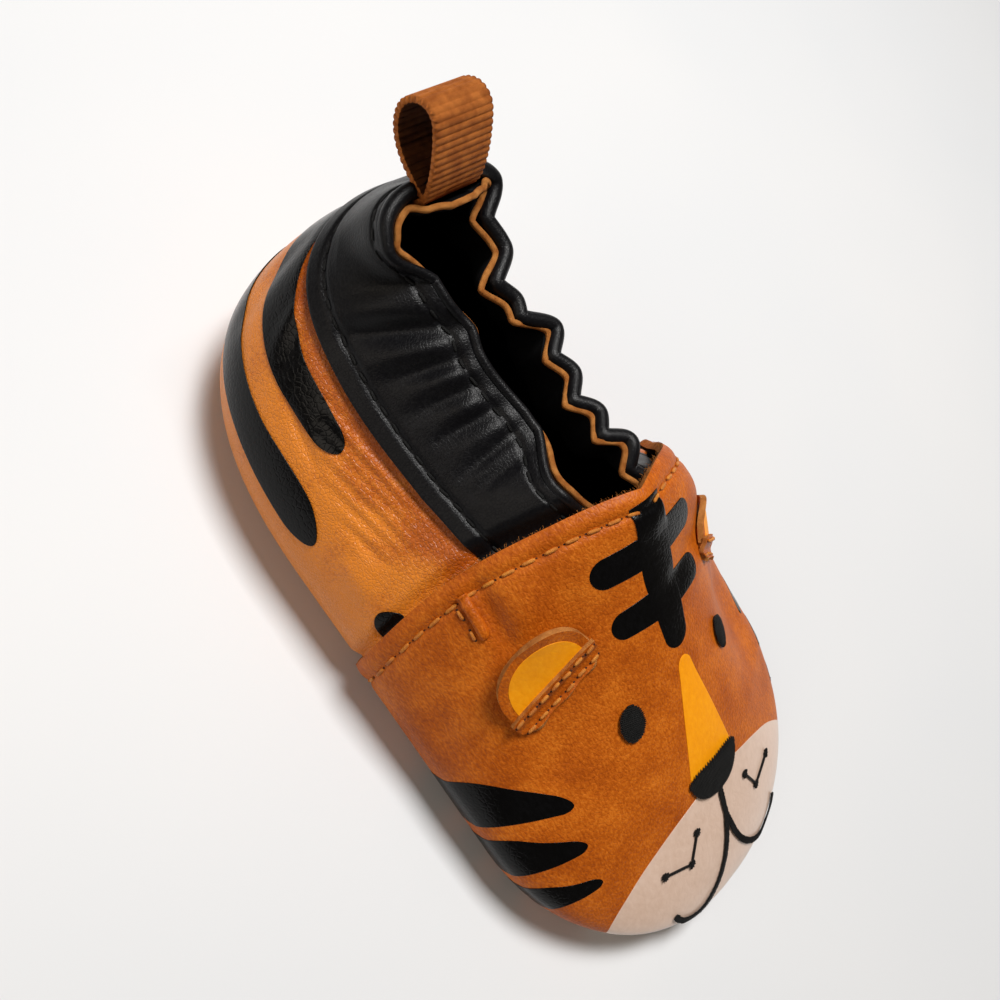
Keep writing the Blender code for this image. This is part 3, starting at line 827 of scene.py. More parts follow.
def sew_eye(side):
    bm = bmesh.new()
    cosine = math.cos(EYE_TILT)
    sine = math.sin(EYE_TILT)
    for step in satin_steps(EYE_HALF_HEIGHT * EYE_REACH):
        bow = math.sqrt(1.0 - (step / EYE_HALF_HEIGHT) ** 2)
        ends = []
        for reach in (-1.0, 1.0):
            across = reach * (EYE_HALF_WIDTH * bow + draw.uniform(0.0, SATIN_RAGGED))
            x = side * (EYE_CENTRE[0] + across * cosine + step * sine)
            ends.append((x, EYE_CENTRE[1] - across * sine + step * cosine))
        satin(bm, ends[0], ends[1], SATIN_HEIGHT + EYE_PUFF * bow)
    lay_on_face(bm)
    keep(bm, sided("eye", side), (black_thread,))


def sew_nose():
    bm = bmesh.new()
    for number, x in enumerate(satin_steps(NOSE_HALF_WIDTH * NOSE_REACH)):
        share = abs(x) / NOSE_HALF_WIDTH
        bow = math.sqrt(1.0 - share**NOSE_ROUNDNESS)
        top = NOSE_TOP + NOSE_SHOULDER * share**6 - NOSE_JAG * (number % 2)
        top = top - draw.uniform(0.0, NOSE_RAGGED)
        bottom = NOSE_TOP + NOSE_SIDE + (NOSE_DEPTH - NOSE_SIDE) * bow
        satin(bm, (x, top), (x, bottom), SATIN_HEIGHT + NOSE_PUFF * bow, NOSE_THREAD)
    lay_on_face(bm)
    keep(bm, "nose_stitching", (black_thread,))


def sew_line(bm, points):
    """Satin threads across a curve."""
    path = smooth_path(points, SATIN_PITCH)
    slope = unit(np.gradient(path, axis=0))
    for middle, way in zip(path, slope):
        out = np.array([-way[1], way[0]])
        reach = MOUTH_HALF_WIDTH + draw.uniform(0.0, SATIN_RAGGED, 2)
        lean = way * draw.normal(0.0, SATIN_LEAN)
        satin(bm, middle - out * reach[0] - lean, middle + out * reach[1] + lean, MOUTH_HEIGHT)


def sew_mouth():
    bm = bmesh.new()
    sew_line(bm, PHILTRUM)
    for side in (1, -1):
        sew_line(bm, [(side * x, down) for x, down in MOUTH])
    lay_on_face(bm)
    keep(bm, "mouth_stitching", (black_thread,))


def sew_whiskers():
    """Dots sewn as small rosettes, joined by single threads."""
    bm = bmesh.new()
    for side in (1, -1):
        dots = [np.array((side * x, down)) for x, down in WHISKER_DOTS]
        for centre in dots:
            for number in range(DOT_THREADS):
                angle = math.pi * number / DOT_THREADS + draw.uniform(-DOT_SWAY, DOT_SWAY)
                spoke = np.array((math.cos(angle), math.sin(angle))) * DOT_RADIUS
                satin(bm, centre - spoke, centre + spoke, SATIN_HEIGHT + DOT_STACK * number)
        for first, second in zip(dots, dots[1:]):
            satin(bm, first, second, SATIN_HEIGHT, WHISKER_THREAD)
    lay_on_face(bm)
    keep(bm, "whisker_stitching", (black_thread,))


for side in (1, -1):
    sew_eye(side)
sew_nose()
sew_mouth()
sew_whiskers()

# Hem stitches, darts and the loose fibres of the raw throat edge
HEM_CLIMBS = (0.25, 1.97)
HEM_PITCH = 3.1
HEM_STITCH = 2.1
STITCH_RADIUS = 0.32
DART_CLIMB = 1.425
DART_START = 2.6
DART_END = 9.6
DART_HALF_WIDTH = 0.95
DART_HEIGHT = 0.75
DART_WALL = 0.3
DART_SINK = 0.3
DART_END_RADIUS = 1.4
DART_END_SHARE = 0.3
DART_THREAD = STITCH_RADIUS * 0.9
DART_PITCH = 2.2
DART_STITCH = 1.5
DART_STITCH_START = DART_START + 0.6
DART_STITCH_GAP = 0.55
FIBRES = 200
FIBRE_RADIUS = 0.03
FIBRE_CLIMBS = (1.35, 1.99)
FIBRE_LENGTHS = (0.15, 0.7)
FIBRE_DEPTHS = (0.1, VAMP_WALL)
FIBRE_SPREAD = 0.7
FIBRE_RISE = (0.2, 0.5)


def vamp_line(turn, climb, side):
    """Points and normals of a line on the vamp."""
    normals = last_normal(turn, climb)
    normals[..., 0] *= side
    return vamp_skin(turn, climb, 0.0, side), normals


def sew_vamp():
    threads = bmesh.new()
    holes = bmesh.new()
    for side in (1, -1):
        climb = np.linspace(*HEM_CLIMBS, 240)
        turn = edge_turn(climb) - HEM_WIDTH / SIDE_LENGTH
        sew(threads, holes, *vamp_line(turn, climb, side), HEM_PITCH, HEM_STITCH, STITCH_RADIUS)
        turn = edge_turn(DART_CLIMB) - np.linspace(DART_STITCH_START, DART_END, 60) / SIDE_LENGTH
        climb = np.full_like(turn, DART_CLIMB)
        climb = climb - climb_step(turn, climb, DART_HALF_WIDTH + DART_STITCH_GAP)
        sew(threads, holes, *vamp_line(turn, climb, side), DART_PITCH, DART_STITCH, DART_THREAD)
    keep(threads, "hem_stitches", (tan_thread,))
    # The needle-hole marks are dark blobs of painted shade.
    keep(holes, "hem_needle_hole_painted_shade", (needle_hole_painted_shade,))


def make_dart(side):
    def place(u, v):
        ahead = DART_START + (DART_END - DART_START) * v
        turn = edge_turn(DART_CLIMB) - ahead / SIDE_LENGTH
        climb = np.full_like(u, DART_CLIMB)
        rounding = round_end(ahead, DART_END, DART_END_RADIUS)
        rounding = DART_END_SHARE + (1.0 - DART_END_SHARE) * rounding
        half = DART_HALF_WIDTH * rounding
        lift = (DART_HEIGHT + DART_SINK) * np.sqrt(1.0 - np.abs(u) ** 3) * rounding - DART_SINK
        return vamp_skin(turn, climb + climb_step(turn, climb, half * u), lift, side)

    bm = sheet(16, 40, place)
    keep(bm, sided("dart", side), (tan_leather,), wall=DART_WALL, flip=side < 0)


def fray_throat():
    """Loose fibres along the raw rear edge of the vamp."""
    bm = bmesh.new()
    for _ in range(FIBRES):
        side = draw.choice((-1.0, 1.0))
        climb = np.array([draw.uniform(*FIBRE_CLIMBS)])
        turn = edge_turn(climb)
        root = vamp_skin(turn, climb, -draw.uniform(*FIBRE_DEPTHS), side)[0]
        up = last_normal(turn, climb)[0] * (side, 1.0, 1.0)
        way = np.array([draw.normal(0.0, FIBRE_SPREAD), 1.0, 0.0]) + up * draw.normal(*FIBRE_RISE)
        tip = root + unit(way) * draw.uniform(*FIBRE_LENGTHS)
        add_thread(bm, root, tip, up, FIBRE_RADIUS, around=4, rings=4)
    keep(bm, "throat_fibres", (raw_edge,))


sew_vamp()
for side in (1, -1):
    make_dart(side)
fray_throat()

# Stripes: horns that stand on the sides of the vamp, and bands that run along the heel
HORN = "climb turn half"
HORN_DROP = {1: 0.20, -1: 0.0}
HORNS = {
    "cheek_stripe_1": table(
        HORN,
        (0.30, 1.225, 3.6), (0.90, 1.200, 4.0), (1.19, 1.135, 3.6), (1.32, 1.070, 2.4),
        (1.45, 0.998, 1.1),
    ),
    "cheek_stripe_2": table(
        HORN,
        (0.30, 1.020, 2.8), (0.90, 0.998, 3.1), (1.19, 0.948, 2.7), (1.31, 0.905, 1.9),
        (1.42, 0.862, 1.0),
    ),
    "cheek_stripe_3": table(
        HORN,
        (0.30, 0.850, 2.2), (0.90, 0.832, 2.5), (1.17, 0.790, 2.1), (1.27, 0.757, 1.5),
        (1.37, 0.726, 0.9),
    ),
}
BAND = "turn climb half"
BANDS = {
    "heel_stripe_1": table(
        BAND,
        (2.145, 1.386, 2.0), (2.274, 1.362, 2.5), (2.390, 1.332, 2.7), (2.520, 1.312, 3.0),
        (2.940, 1.325, 3.3),
    ),
    "heel_stripe_2": table(
        BAND,
        (2.030, 1.155, 2.6), (2.110, 1.160, 3.2), (2.190, 1.150, 3.2), (2.280, 1.130, 2.9),
        (2.510, 1.079, 2.9), (2.940, 1.020, 2.9),
    ),
    "heel_stripe_3": table(
        BAND,
        (1.690, 1.200, 2.9), (1.750, 1.204, 2.6), (1.805, 1.206, 2.0),
    ),
}
CLIMB_LENGTH = 44.0
HORN_TIP_LENGTH = 2.0
HORN_CROWDING = 1.3
BAND_END_LENGTH = 1.2


def lay_horn(name, rows, side):
    """A horn-shaped print on the vamp, from its round tip down to the sole's edge."""
    tip = rows[-1]

    def place(u, v):
        climb = tip.climb + (rows[0].climb - tip.climb) * v**HORN_CROWDING
        from_tip = (tip.climb - climb) * CLIMB_LENGTH
        half = read_column(rows, "half", climb) * round_end(-from_tip, 0.0, HORN_TIP_LENGTH * tip.half)
        turn = read_column(rows, "turn", climb) + u * half / SIDE_LENGTH
        return vamp_skin(turn, climb - HORN_DROP[side] * (1.0 - v), PRINT_LIFT, side)

    bm = film(20, 90, place)
    keep(bm, sided(name, side), (black_print,), wall=PRINT_FILM, flip=side > 0)


def lay_band(name, rows, side):
    """A round-ended print along the quarter."""
    first = rows[0]
    end = rows[-1]

    def place(u, v):
        turn = first.turn + (end.turn - first.turn) * v
        climb = read_column(rows, "climb", turn)
        half = read_column(rows, "half", turn)
        half = half * round_end(-(turn - first.turn) * SIDE_LENGTH, 0.0, BAND_END_LENGTH * first.half)
        half = half * round_end(-(end.turn - turn) * SIDE_LENGTH, 0.0, BAND_END_LENGTH * end.half)
        across = u * climb_step(turn, climb, half)
        return quarter_skin(turn, climb + across, PRINT_LIFT, side)

    bm = film(16, 110, place)
    keep(bm, sided(name, side), (black_print,), wall=PRINT_FILM, flip=side < 0)


# Quarter: the heel part of the upper, tucked under the vamp and the collar
QUARTER_WALL = 1.3
QUARTER_UNDERLAP = 3.0
QUARTER_ROW_REACH = 0.6
QUARTER_TUCK_SHARE = 0.2
QUARTER_OVERRUN = 0.8
UNDERLAP_GAP = 0.15
UNDERLAP_SLOPE = (0.1, 2.6)
SEAM_DIP = 0.9
SEAM_DIP_SLOPE = (-1.0, 4.0)
HEEL_SETTLE = 4.2
SETTLE_START = (1.64, 1.88)
SETTLE_END = (2.55, 2.9)
SETTLE_CLIMBS = (0.95, 1.42)
WAIST_SETTLE = 3.4
WAIST_TURN = 2.0
WAIST_SPREAD = 0.28
WAIST_CLIMBS = (0.5, 1.2)


def heel_settle(turn, climb, side):
    """How far the wall of the empty heel has sunk in on the wearer's left."""
    lengthwise = ramp(turn, *SETTLE_START) * (1.0 - ramp(turn, *SETTLE_END))
    waist = WAIST_SETTLE * hump(turn, WAIST_TURN, WAIST_SPREAD) * ramp(climb, *WAIST_CLIMBS)
    return -(HEEL_SETTLE * ramp(climb, *SETTLE_CLIMBS) + waist) * (side > 0) * lengthwise


def seam_climb(turn):
    return read_column(COLLAR_LINES, "seam", turn)


def quarter_relief(turn, climb, side):
    """Dips under the vamp's edge and towards the collar's seam, the settled heel and the creases."""
    behind = -ahead_of_edge(turn, climb)
    under = -(VAMP_WALL + UNDERLAP_GAP - QUARTER_INSET) * (1.0 - ramp(behind, *UNDERLAP_SLOPE))
    to_seam = (seam_climb(turn) - climb) / climb_step(turn, np.minimum(climb, 1.9), 1.0)
    dip = -SEAM_DIP * (1.0 - ramp(to_seam, *SEAM_DIP_SLOPE))
    settle = heel_settle(turn, climb, side) - QUARTER_INSET
    return under + dip + settle + press_creases(QUARTER_CREASES, turn, climb, side)


def quarter_skin(turn, climb, lift, side):
    return skin(turn, climb, lift + quarter_relief(turn, climb, side), side)


def place_quarter(u, v):
    side = np.where(u < 0, 1.0, -1.0)
    rough_climb = rows_to_climb(v * QUARTER_ROW_REACH)
    start = edge_turn(rough_climb) - QUARTER_UNDERLAP / SIDE_LENGTH
    turn = 3.0 + (start - 3.0) * np.abs(u)
    top = seam_climb(turn) + climb_step(turn, seam_climb(turn), QUARTER_OVERRUN)
    tuck = QUARTER_TUCK_SHARE
    climb = np.where(v < tuck, v / tuck, 1.0 + (v - tuck) / (1.0 - tuck) * (top - 1.0))
    return quarter_skin(turn, climb, 0.0, side)


quarter_layers = (quarter_leather, lining_cloth, raw_edge)
keep(sheet(340, 96, place_quarter), "quarter", quarter_layers, wall=QUARTER_WALL)
for side in (1, -1):
    for name, rows in HORNS.items():
        lay_horn(name, rows, side)
    for name, rows in BANDS.items():
        lay_band(name, rows, side)

# Collar: a gathered band with a sewn lower edge, an elastic line and a wavy rolled rim
# The near rim is the one on the wearer's right. A pair of values is where a change starts and where it ends
COLLAR_WALL = 1.0
COLLAR_OVERLAP = 1.4
COLLAR_BAND = 0.16
ELASTIC_LINE = 0.86
COLLAR_PUFF = 0.2
COLLAR_SINK = 0.15
COLLAR_FRONT = 1.5
COLLAR_FRONT_RISE = 0.3
BAND_GROOVE = 0.4
BAND_GROOVE_SPREAD = 0.025
ELASTIC_GROOVE = 0.3
ELASTIC_GROOVE_SPREAD = 0.03
COLLAR_UNDERLAP_GAP = 0.4
COLLAR_UNDERLAP_SLOPE = (0.2, 3.5)
COLLAR_SETTLE_FADE = (0.55, 1.0)
SWAY_POWER = 1.5
COLLAR_REACH = 0.995
AROUND_STEP = 0.0015
RISE_STEP = 0.01
HEEL_SHARE = (0.28, 0.38)
NEAR_RIM_START = (0.30, 0.38)
NEAR_RIM_END = (0.74, 0.82)
RIM_CHANGE = (0.1, 0.35)
NEAR_RIM_REACH = 1.2
NEAR_RIM_RISE = 2.0
NEAR_RIM_TURN = 2.4
NEAR_RIM_SPREAD = 0.3
RIM_RADIUS = 1.25
NEAR_RIM_RADIUS = 0.75
RIM_DEPTH = 0.7
RAW_EDGE_RADIUS = 0.48
RAW_EDGE_DEPTH = 2.35
LINING_DEPTH = 2.5
LINING_WALL = 0.6
LINING_START = 0.02
LINING_RISE = 0.95
LINING_FOOT = (0.05, 0.3)
COLLAR_SEAM_END = 0.97
COLLAR_PITCH = 2.7
COLLAR_STITCH = 1.7
COLLAR_THREAD = 0.24
COLLAR_THREAD_SINK = 0.05
RIBBON_WIDTH = 10.5
RIBBON_WALL = 0.8
RIBBON_ROOM_START = (30.0, 40.0)
RIBBON_ROOM_SIDES = (RIBBON_WIDTH / 2, RIBBON_WIDTH / 2 + 3.5)

# Crests and troughs of the rim's lobes; around is 0 at the heel and 1 at the throat
LEFT_LOBES = table(
    "around reach",
    (0.04, 1.0), (0.20, 4.4), (0.315, -1.2), (0.39, -0.4), (0.452, -4.4), (0.51, -1.8), (0.545, -2.4),
    (0.605, 2.6), (0.655, -0.8), (0.705, 0.8), (0.75, -2.8), (0.80, -0.4), (0.85, -3.4), (0.892, -0.4),
    (0.94, -2.0), (1.00, -0.5),
)
RIGHT_LOBES = table(
    "around reach",
    (0.04, 1.0), (0.21, 6.4), (0.25, 6.4), (0.38, 0.7), (0.44, 0.9), (0.51, 0.1), (0.57, 0.9),
    (0.72, -0.9), (0.76, -0.9), (0.87, 3.0), (1.00, -0.4),
)
COLLAR_CREASES = table(
    CREASE,
    (-1, 2.66, 1.50, 2.62, 1.66, 2.2, -0.7), (-1, 2.46, 1.51, 2.42, 1.76, 2.2, 0.9),
    (-1, 2.40, 1.52, 2.34, 1.80, 1.5, -1.0), (-1, 2.31, 1.56, 2.29, 1.80, 1.9, 0.9),
    (-1, 2.25, 1.60, 2.24, 1.79, 1.3, -0.7), (-1, 2.20, 1.66, 2.20, 1.80, 1.7, 0.8),
    (-1, 2.15, 1.60, 2.16, 1.79, 1.2, -0.5), (-1, 2.11, 1.68, 2.11, 1.78, 1.6, 0.6),
    (-1, 2.07, 1.62, 2.08, 1.80, 1.0, -0.5), (-1, 2.03, 1.66, 2.035, 1.80, 1.2, 0.4),
    (-1, 1.99, 1.62, 2.005, 1.81, 1.0, -0.45), (-1, 1.93, 1.62, 1.94, 1.79, 1.1, -0.4),
    (1, 2.58, 1.50, 2.54, 1.68, 2.0, -0.7), (1, 2.44, 1.53, 2.42, 1.76, 1.9, 0.7),
    (1, 2.35, 1.54, 2.33, 1.78, 1.4, -0.8), (1, 2.17, 1.58, 2.19, 1.78, 1.4, -0.6),
    (1, 2.04, 1.60, 2.05, 1.78, 1.2, -0.6), (1, 1.90, 1.62, 1.92, 1.78, 1.1, -0.5),
)


def lobe_reach(lobes, around):
    """The reach between the rows of a lobe table, with broad crests and narrow troughs."""
    keys = np.array([lobe.around for lobe in lobes])
    values = np.array([lobe.reach for lobe in lobes])
    around = np.clip(around, keys[0], keys[-1])
    index = np.clip(np.searchsorted(keys, around, side="right") - 1, 0, len(keys) - 2)
    change = values[index + 1] - values[index]
    angle = (around - keys[index]) / (keys[index + 1] - keys[index]) * math.pi / 2
    scallop = np.where(change > 0, np.sin(angle), 1.0 - np.cos(angle))
    return values[index] + change * (scallop + ramp(around, keys[index], keys[index + 1])) / 2


def rim_sway(around, side):
    return np.where(side > 0, lobe_reach(LEFT_LOBES, np.abs(around)), lobe_reach(RIGHT_LOBES, np.abs(around)))


def collar_place(around, rise):
    """Turn, climb and side of a place on the collar. rise is 0 at the lower edge and 1 at the rim."""
    side = np.where(around < 0, 1.0, -1.0)
    start = edge_turn(COLLAR_FRONT + COLLAR_FRONT_RISE * rise) - QUARTER_UNDERLAP / SIDE_LENGTH
    turn = 3.0 + (start - 3.0) * np.abs(around)
    seam = seam_climb(turn)
    low = seam - climb_step(turn, seam, COLLAR_OVERLAP)
    rim = read_column(COLLAR_LINES, "rim", turn)
    reach = NEAR_RIM_REACH * hump(turn, NEAR_RIM_TURN, NEAR_RIM_SPREAD) * (side < 0)
    return turn, low + rise * (rim + climb_step(turn, rim, reach) - low), side


def square_up(level, around, side):
    """Turns level directions straight across the shoe away from the heel."""
    share = ramp(np.abs(around), *HEEL_SHARE)[..., None]
    across = np.stack([side, np.zeros_like(side), np.zeros_like(side)], axis=-1)
    level = unit(level)
    return unit(level + share * (across - level))


def collar_level(around, rise):
    """Directions out of the collar, level with the floor."""
    turn, climb, side = collar_place(around, rise)
    level = last_normal(turn, climb) * np.stack([side, np.ones_like(side), 0 * side], axis=-1)
    return square_up(level, around, side)


def collar_skin(around, rise):
    """Points of the collar's outer side."""
    turn, climb, side = collar_place(around, rise)
    above_band = np.clip((rise - COLLAR_BAND) / (1.0 - COLLAR_BAND), 0.0, 1.1)
    puff = COLLAR_PUFF * np.sin(math.pi * np.clip(above_band, 0.0, 1.0))
    grooves = -BAND_GROOVE * hump(rise, COLLAR_BAND, BAND_GROOVE_SPREAD)
    grooves = grooves - ELASTIC_GROOVE * hump(rise, ELASTIC_LINE, ELASTIC_GROOVE_SPREAD)
    behind = -ahead_of_edge(turn, climb)
    under = -(VAMP_WALL + COLLAR_UNDERLAP_GAP) * (1.0 - ramp(behind, *COLLAR_UNDERLAP_SLOPE))
    settle = heel_settle(turn, climb, side) * (1.0 - ramp(rise, *COLLAR_SETTLE_FADE))
    folds = press_creases(COLLAR_CREASES, turn, climb, side)
    points = skin(turn, climb, puff + grooves + folds - COLLAR_SINK + under + settle, side)
    sway = rim_sway(around, side) * above_band**SWAY_POWER
    return points + collar_level(around, rise) * sway[..., None]


def collar_frame(around, rise):
    """Points of the collar's outer side with the directions out of it."""
    along = collar_skin(around + AROUND_STEP, rise) - collar_skin(around - AROUND_STEP, rise)
    up = collar_skin(around, rise + RISE_STEP) - collar_skin(around, rise - RISE_STEP)
    return collar_skin(around, rise), unit(np.cross(along, up))


def ribbon_room(points):
    """1 where the ribbon's ends lie inside the collar, 0 to its sides."""
    heel = ramp(points[..., 1], *RIBBON_ROOM_START)
    return heel * (1.0 - ramp(np.abs(points[..., 0]), *RIBBON_ROOM_SIDES))


def layer_level(around):
    """Level directions out of the rim, evened out round the heel."""
    reach = 0.07
    rim = np.ones_like(around)
    start = collar_skin(np.clip(around - reach, -1.0, 1.0), rim)
    chord = collar_skin(np.clip(around + reach, -1.0, 1.0), rim) - start
    level = np.stack([chord[..., 1], -chord[..., 0], np.zeros_like(around)], axis=-1)
    return square_up(level, around, np.where(around < 0, 1.0, -1.0))


def collar_layer(around, rise, depth):
    """A layer at a level depth inside the collar's outer side.

    Layers behind the rim's roll leave room for the ribbon and lie lower on the wearer's right.
    """
    points = collar_skin(around, rise)
    if np.min(depth) > RIM_DEPTH + RIM_RADIUS:
        depth = depth + 2 * RIBBON_WALL * ribbon_room(points)
        near = ramp(around, *NEAR_RIM_START) * (1.0 - ramp(around, *NEAR_RIM_END))
        points[..., 2] -= NEAR_RIM_RISE * near
    return points - layer_level(around) * np.reshape(depth, (-1, 1))


def place_rim_roll(depth, left_radius, right_radius):
    """A roll along the rim, with a radius for each side."""

    def place(u, v):
        around = u * COLLAR_REACH
        rim = np.ones_like(u)
        ahead = collar_layer(around + AROUND_STEP, rim, depth)
        along = ahead - collar_layer(around - AROUND_STEP, rim, depth)
        out = unit(np.cross(along, (0.0, 0.0, 1.0)))
        up = unit(np.cross(out, along))
        angle = 2 * math.pi * v[..., None]
        radius = left_radius + (right_radius - left_radius) * ramp(around, *RIM_CHANGE)[..., None]
        return collar_layer(around, rim, depth) + radius * (np.cos(angle) * out + np.sin(angle) * up)

    return place


def place_lining(u, v):
    foot = 1.0 - ramp(v, *LINING_FOOT)
    return collar_layer(u * COLLAR_REACH, LINING_START + LINING_RISE * v, LINING_DEPTH + foot)


def sew_collar():
    """Stitches along the band's upper edge and the elastic line."""
    threads = bmesh.new()
    holes = bmesh.new()
    around = np.linspace(-COLLAR_SEAM_END, COLLAR_SEAM_END, 900)
    for rise in (COLLAR_BAND, ELASTIC_LINE):
        line, normals = collar_frame(around, np.full_like(around, rise))
        line = line - COLLAR_THREAD_SINK * normals
        sew(threads, holes, line, normals, COLLAR_PITCH, COLLAR_STITCH, COLLAR_THREAD)
    keep(threads, "collar_stitches", (black_thread,))
    # The needle-hole marks are dark blobs of painted shade.
    keep(holes, "collar_needle_hole_painted_shade", (black_thread,))


collar_layers = (black_leather, lining_cloth, black_leather)
keep(sheet(460, 56, collar_skin), "collar_band", collar_layers, ("collar",), COLLAR_WALL)
place_rim = place_rim_roll(RIM_DEPTH, RIM_RADIUS, NEAR_RIM_RADIUS)
keep(sheet(520, 14, place_rim), "collar_rim", (black_leather,))
place_raw_edge = place_rim_roll(RAW_EDGE_DEPTH, RAW_EDGE_RADIUS, RAW_EDGE_RADIUS)
keep(sheet(520, 10, place_raw_edge), "collar_raw_edge", (raw_edge,))
keep(sheet(460, 24, place_lining), "collar_lining", (lining_cloth,), wall=LINING_WALL)
sew_collar()

# Pull loop: a ribbed ribbon whose two ends are sewn between the collar and its raw strip
RIB_PITCH = 0.95
RIB_HEIGHT = 0.16
RIB_ROUNDNESS = 0.7
RIB_FLARE = 0.6
LOOP_LEAN = math.radians(33.0)
LOOP_STEP = 0.08
LOOP_SHIFT = 0.8
LOOP_ROOT_RISE = 0.8
SELVAGE = 0.1
LOOP_PATH = table(
    "across along",
    (-0.45, -6.0), (-0.45, -1.0), (-0.60, 4.3), (-0.80, 8.9), (-0.40, 12.0), (2.20, 13.6),
    (5.60, 12.5), (7.00, 9.1), (6.00, 5.0), (2.60, 1.2), (0.45, -1.0), (0.45, -6.0),
)


def make_pull_loop():
    depth = RIM_DEPTH + RIM_RADIUS + RIBBON_WALL
    rim = collar_skin(np.zeros(2), np.array([LOOP_ROOT_RISE, 1.0])) - np.array((LOOP_SHIFT, depth, 0.0))
    foot = rim[1]
    wall = unit(rim[1] - rim[0])
    axis = np.array([0.0, math.sin(LOOP_LEAN), math.cos(LOOP_LEAN)])
    points = []
    for row in LOOP_PATH:
        way = axis if row.along > 0 else wall
        across = np.array([0.0, way[2], -way[1]])
        points.append(foot + way * row.along + across * row.across)
    path = smooth_path(points, LOOP_STEP)
    rows = len(path) - 1
    slope = unit(np.gradient(path, axis=0))
    out = np.stack([np.zeros(rows + 1), -slope[:, 2], slope[:, 1]], axis=-1)

    def place(u, v):
        index = np.rint(v * rows).astype(int)
        rib = RIB_HEIGHT * np.abs(np.cos(math.pi * index * LOOP_STEP / RIB_PITCH)) ** RIB_ROUNDNESS
        spot = path[index] + out[index] * rib[:, None]
        spot[:, 0] += u * (RIBBON_WIDTH / 2 - SELVAGE + RIB_FLARE * rib)
        return spot

    # The inner side takes the darker copy of the cloth: painted shade inside the loop.
    layers = (ribbon_cloth, ribbon_back_painted_shade, ribbon_cloth)
    keep(sheet(16, rows, place), "ribbon_loop", layers, ("pull_loop",), RIBBON_WALL)


make_pull_loop()

# Ears: half-round flaps that lean back, each under a flange sewn to the vamp
EAR_INNER = (1.385, 1.675)
EAR_OUTER = (1.31, 1.40)
EAR_WALL = 1.0
EAR_HEIGHT = 8.8
EAR_END_HEIGHT = 0.8
EAR_ROUNDNESS = 2.2
EAR_LIFT = {1: math.radians(4.0), -1: math.radians(19.0)}
EAR_SKEW = 0.3
EAR_GAP = 0.05
EAR_SINK = 0.6
FLANGE_WALL = 0.7
FLANGE_TOP = 0.8
FLANGE_BOTTOM = -2.7
FLANGE_HALF = 0.53
FLANGE_CORNER = 0.4
FLANGE_BEVEL = 0.2
FLANGE_STEP = (-1.3, 0.2)
FLANGE_CURL = 0.25
FLANGE_CURL_WIDTH = 0.5
FLANGE_WAVE = 0.2
FLANGE_WAVES = 17.0
UPPER_SEAM = 0.1
UPPER_SEAM_DIP = 0.15
LOWER_SEAM = FLANGE_BOTTOM + 0.6
LOWER_SEAM_DIP = 0.2
SEAM_DIP_SPREAD = 0.4
YELLOW_MARGIN = 1.8
YELLOW_SHARE = 0.41
YELLOW_ROUNDNESS = 2.2
EAR_PITCH = 2.3
EAR_STITCH = 1.6
EAR_THREAD = STITCH_RADIUS * 0.95
EAR_SEAM = (-0.02, 1.02)


def ear_point(share, height, lift, side):
    """A place over the vamp at a height up the ear from its base line, with the normals there."""
    turn = EAR_INNER[0] + share * (EAR_OUTER[0] - EAR_INNER[0])
    climb = EAR_INNER[1] + share * (EAR_OUTER[1] - EAR_INNER[1])
    turn = turn + height * math.sqrt(1.0 - EAR_SKEW**2) / SIDE_LENGTH
    climb = climb - climb_step(turn, climb, height * EAR_SKEW)
    stand = np.clip(height, 0.0, None) * math.sin(EAR_LIFT[side])
    normals = last_normal(turn, climb) * (side, 1.0, 1.0)
    return vamp_skin(turn, climb, lift + stand, side), normals


def ear_edge(share):
    rounding = (1.0 - np.abs(2 * share - 1.0) ** EAR_ROUNDNESS) ** (1 / EAR_ROUNDNESS)
    return EAR_END_HEIGHT + (EAR_HEIGHT - EAR_END_HEIGHT) * rounding


def flange_lift(share, height):
    """The flange rides over the ear's base, dips at its stitches and curls at its edge."""
    over_ear = EAR_WALL * ramp(height, *FLANGE_STEP)
    dips = -UPPER_SEAM_DIP * hump(height, UPPER_SEAM, SEAM_DIP_SPREAD)
    dips = dips - LOWER_SEAM_DIP * hump(height, LOWER_SEAM, SEAM_DIP_SPREAD)
    curl = FLANGE_CURL + FLANGE_WAVE * np.sin(FLANGE_WAVES * share)
    curl = curl * ramp(-height, -FLANGE_BOTTOM - FLANGE_CURL_WIDTH, -FLANGE_BOTTOM)
    return FLANGE_WALL + EAR_GAP + over_ear + dips + curl


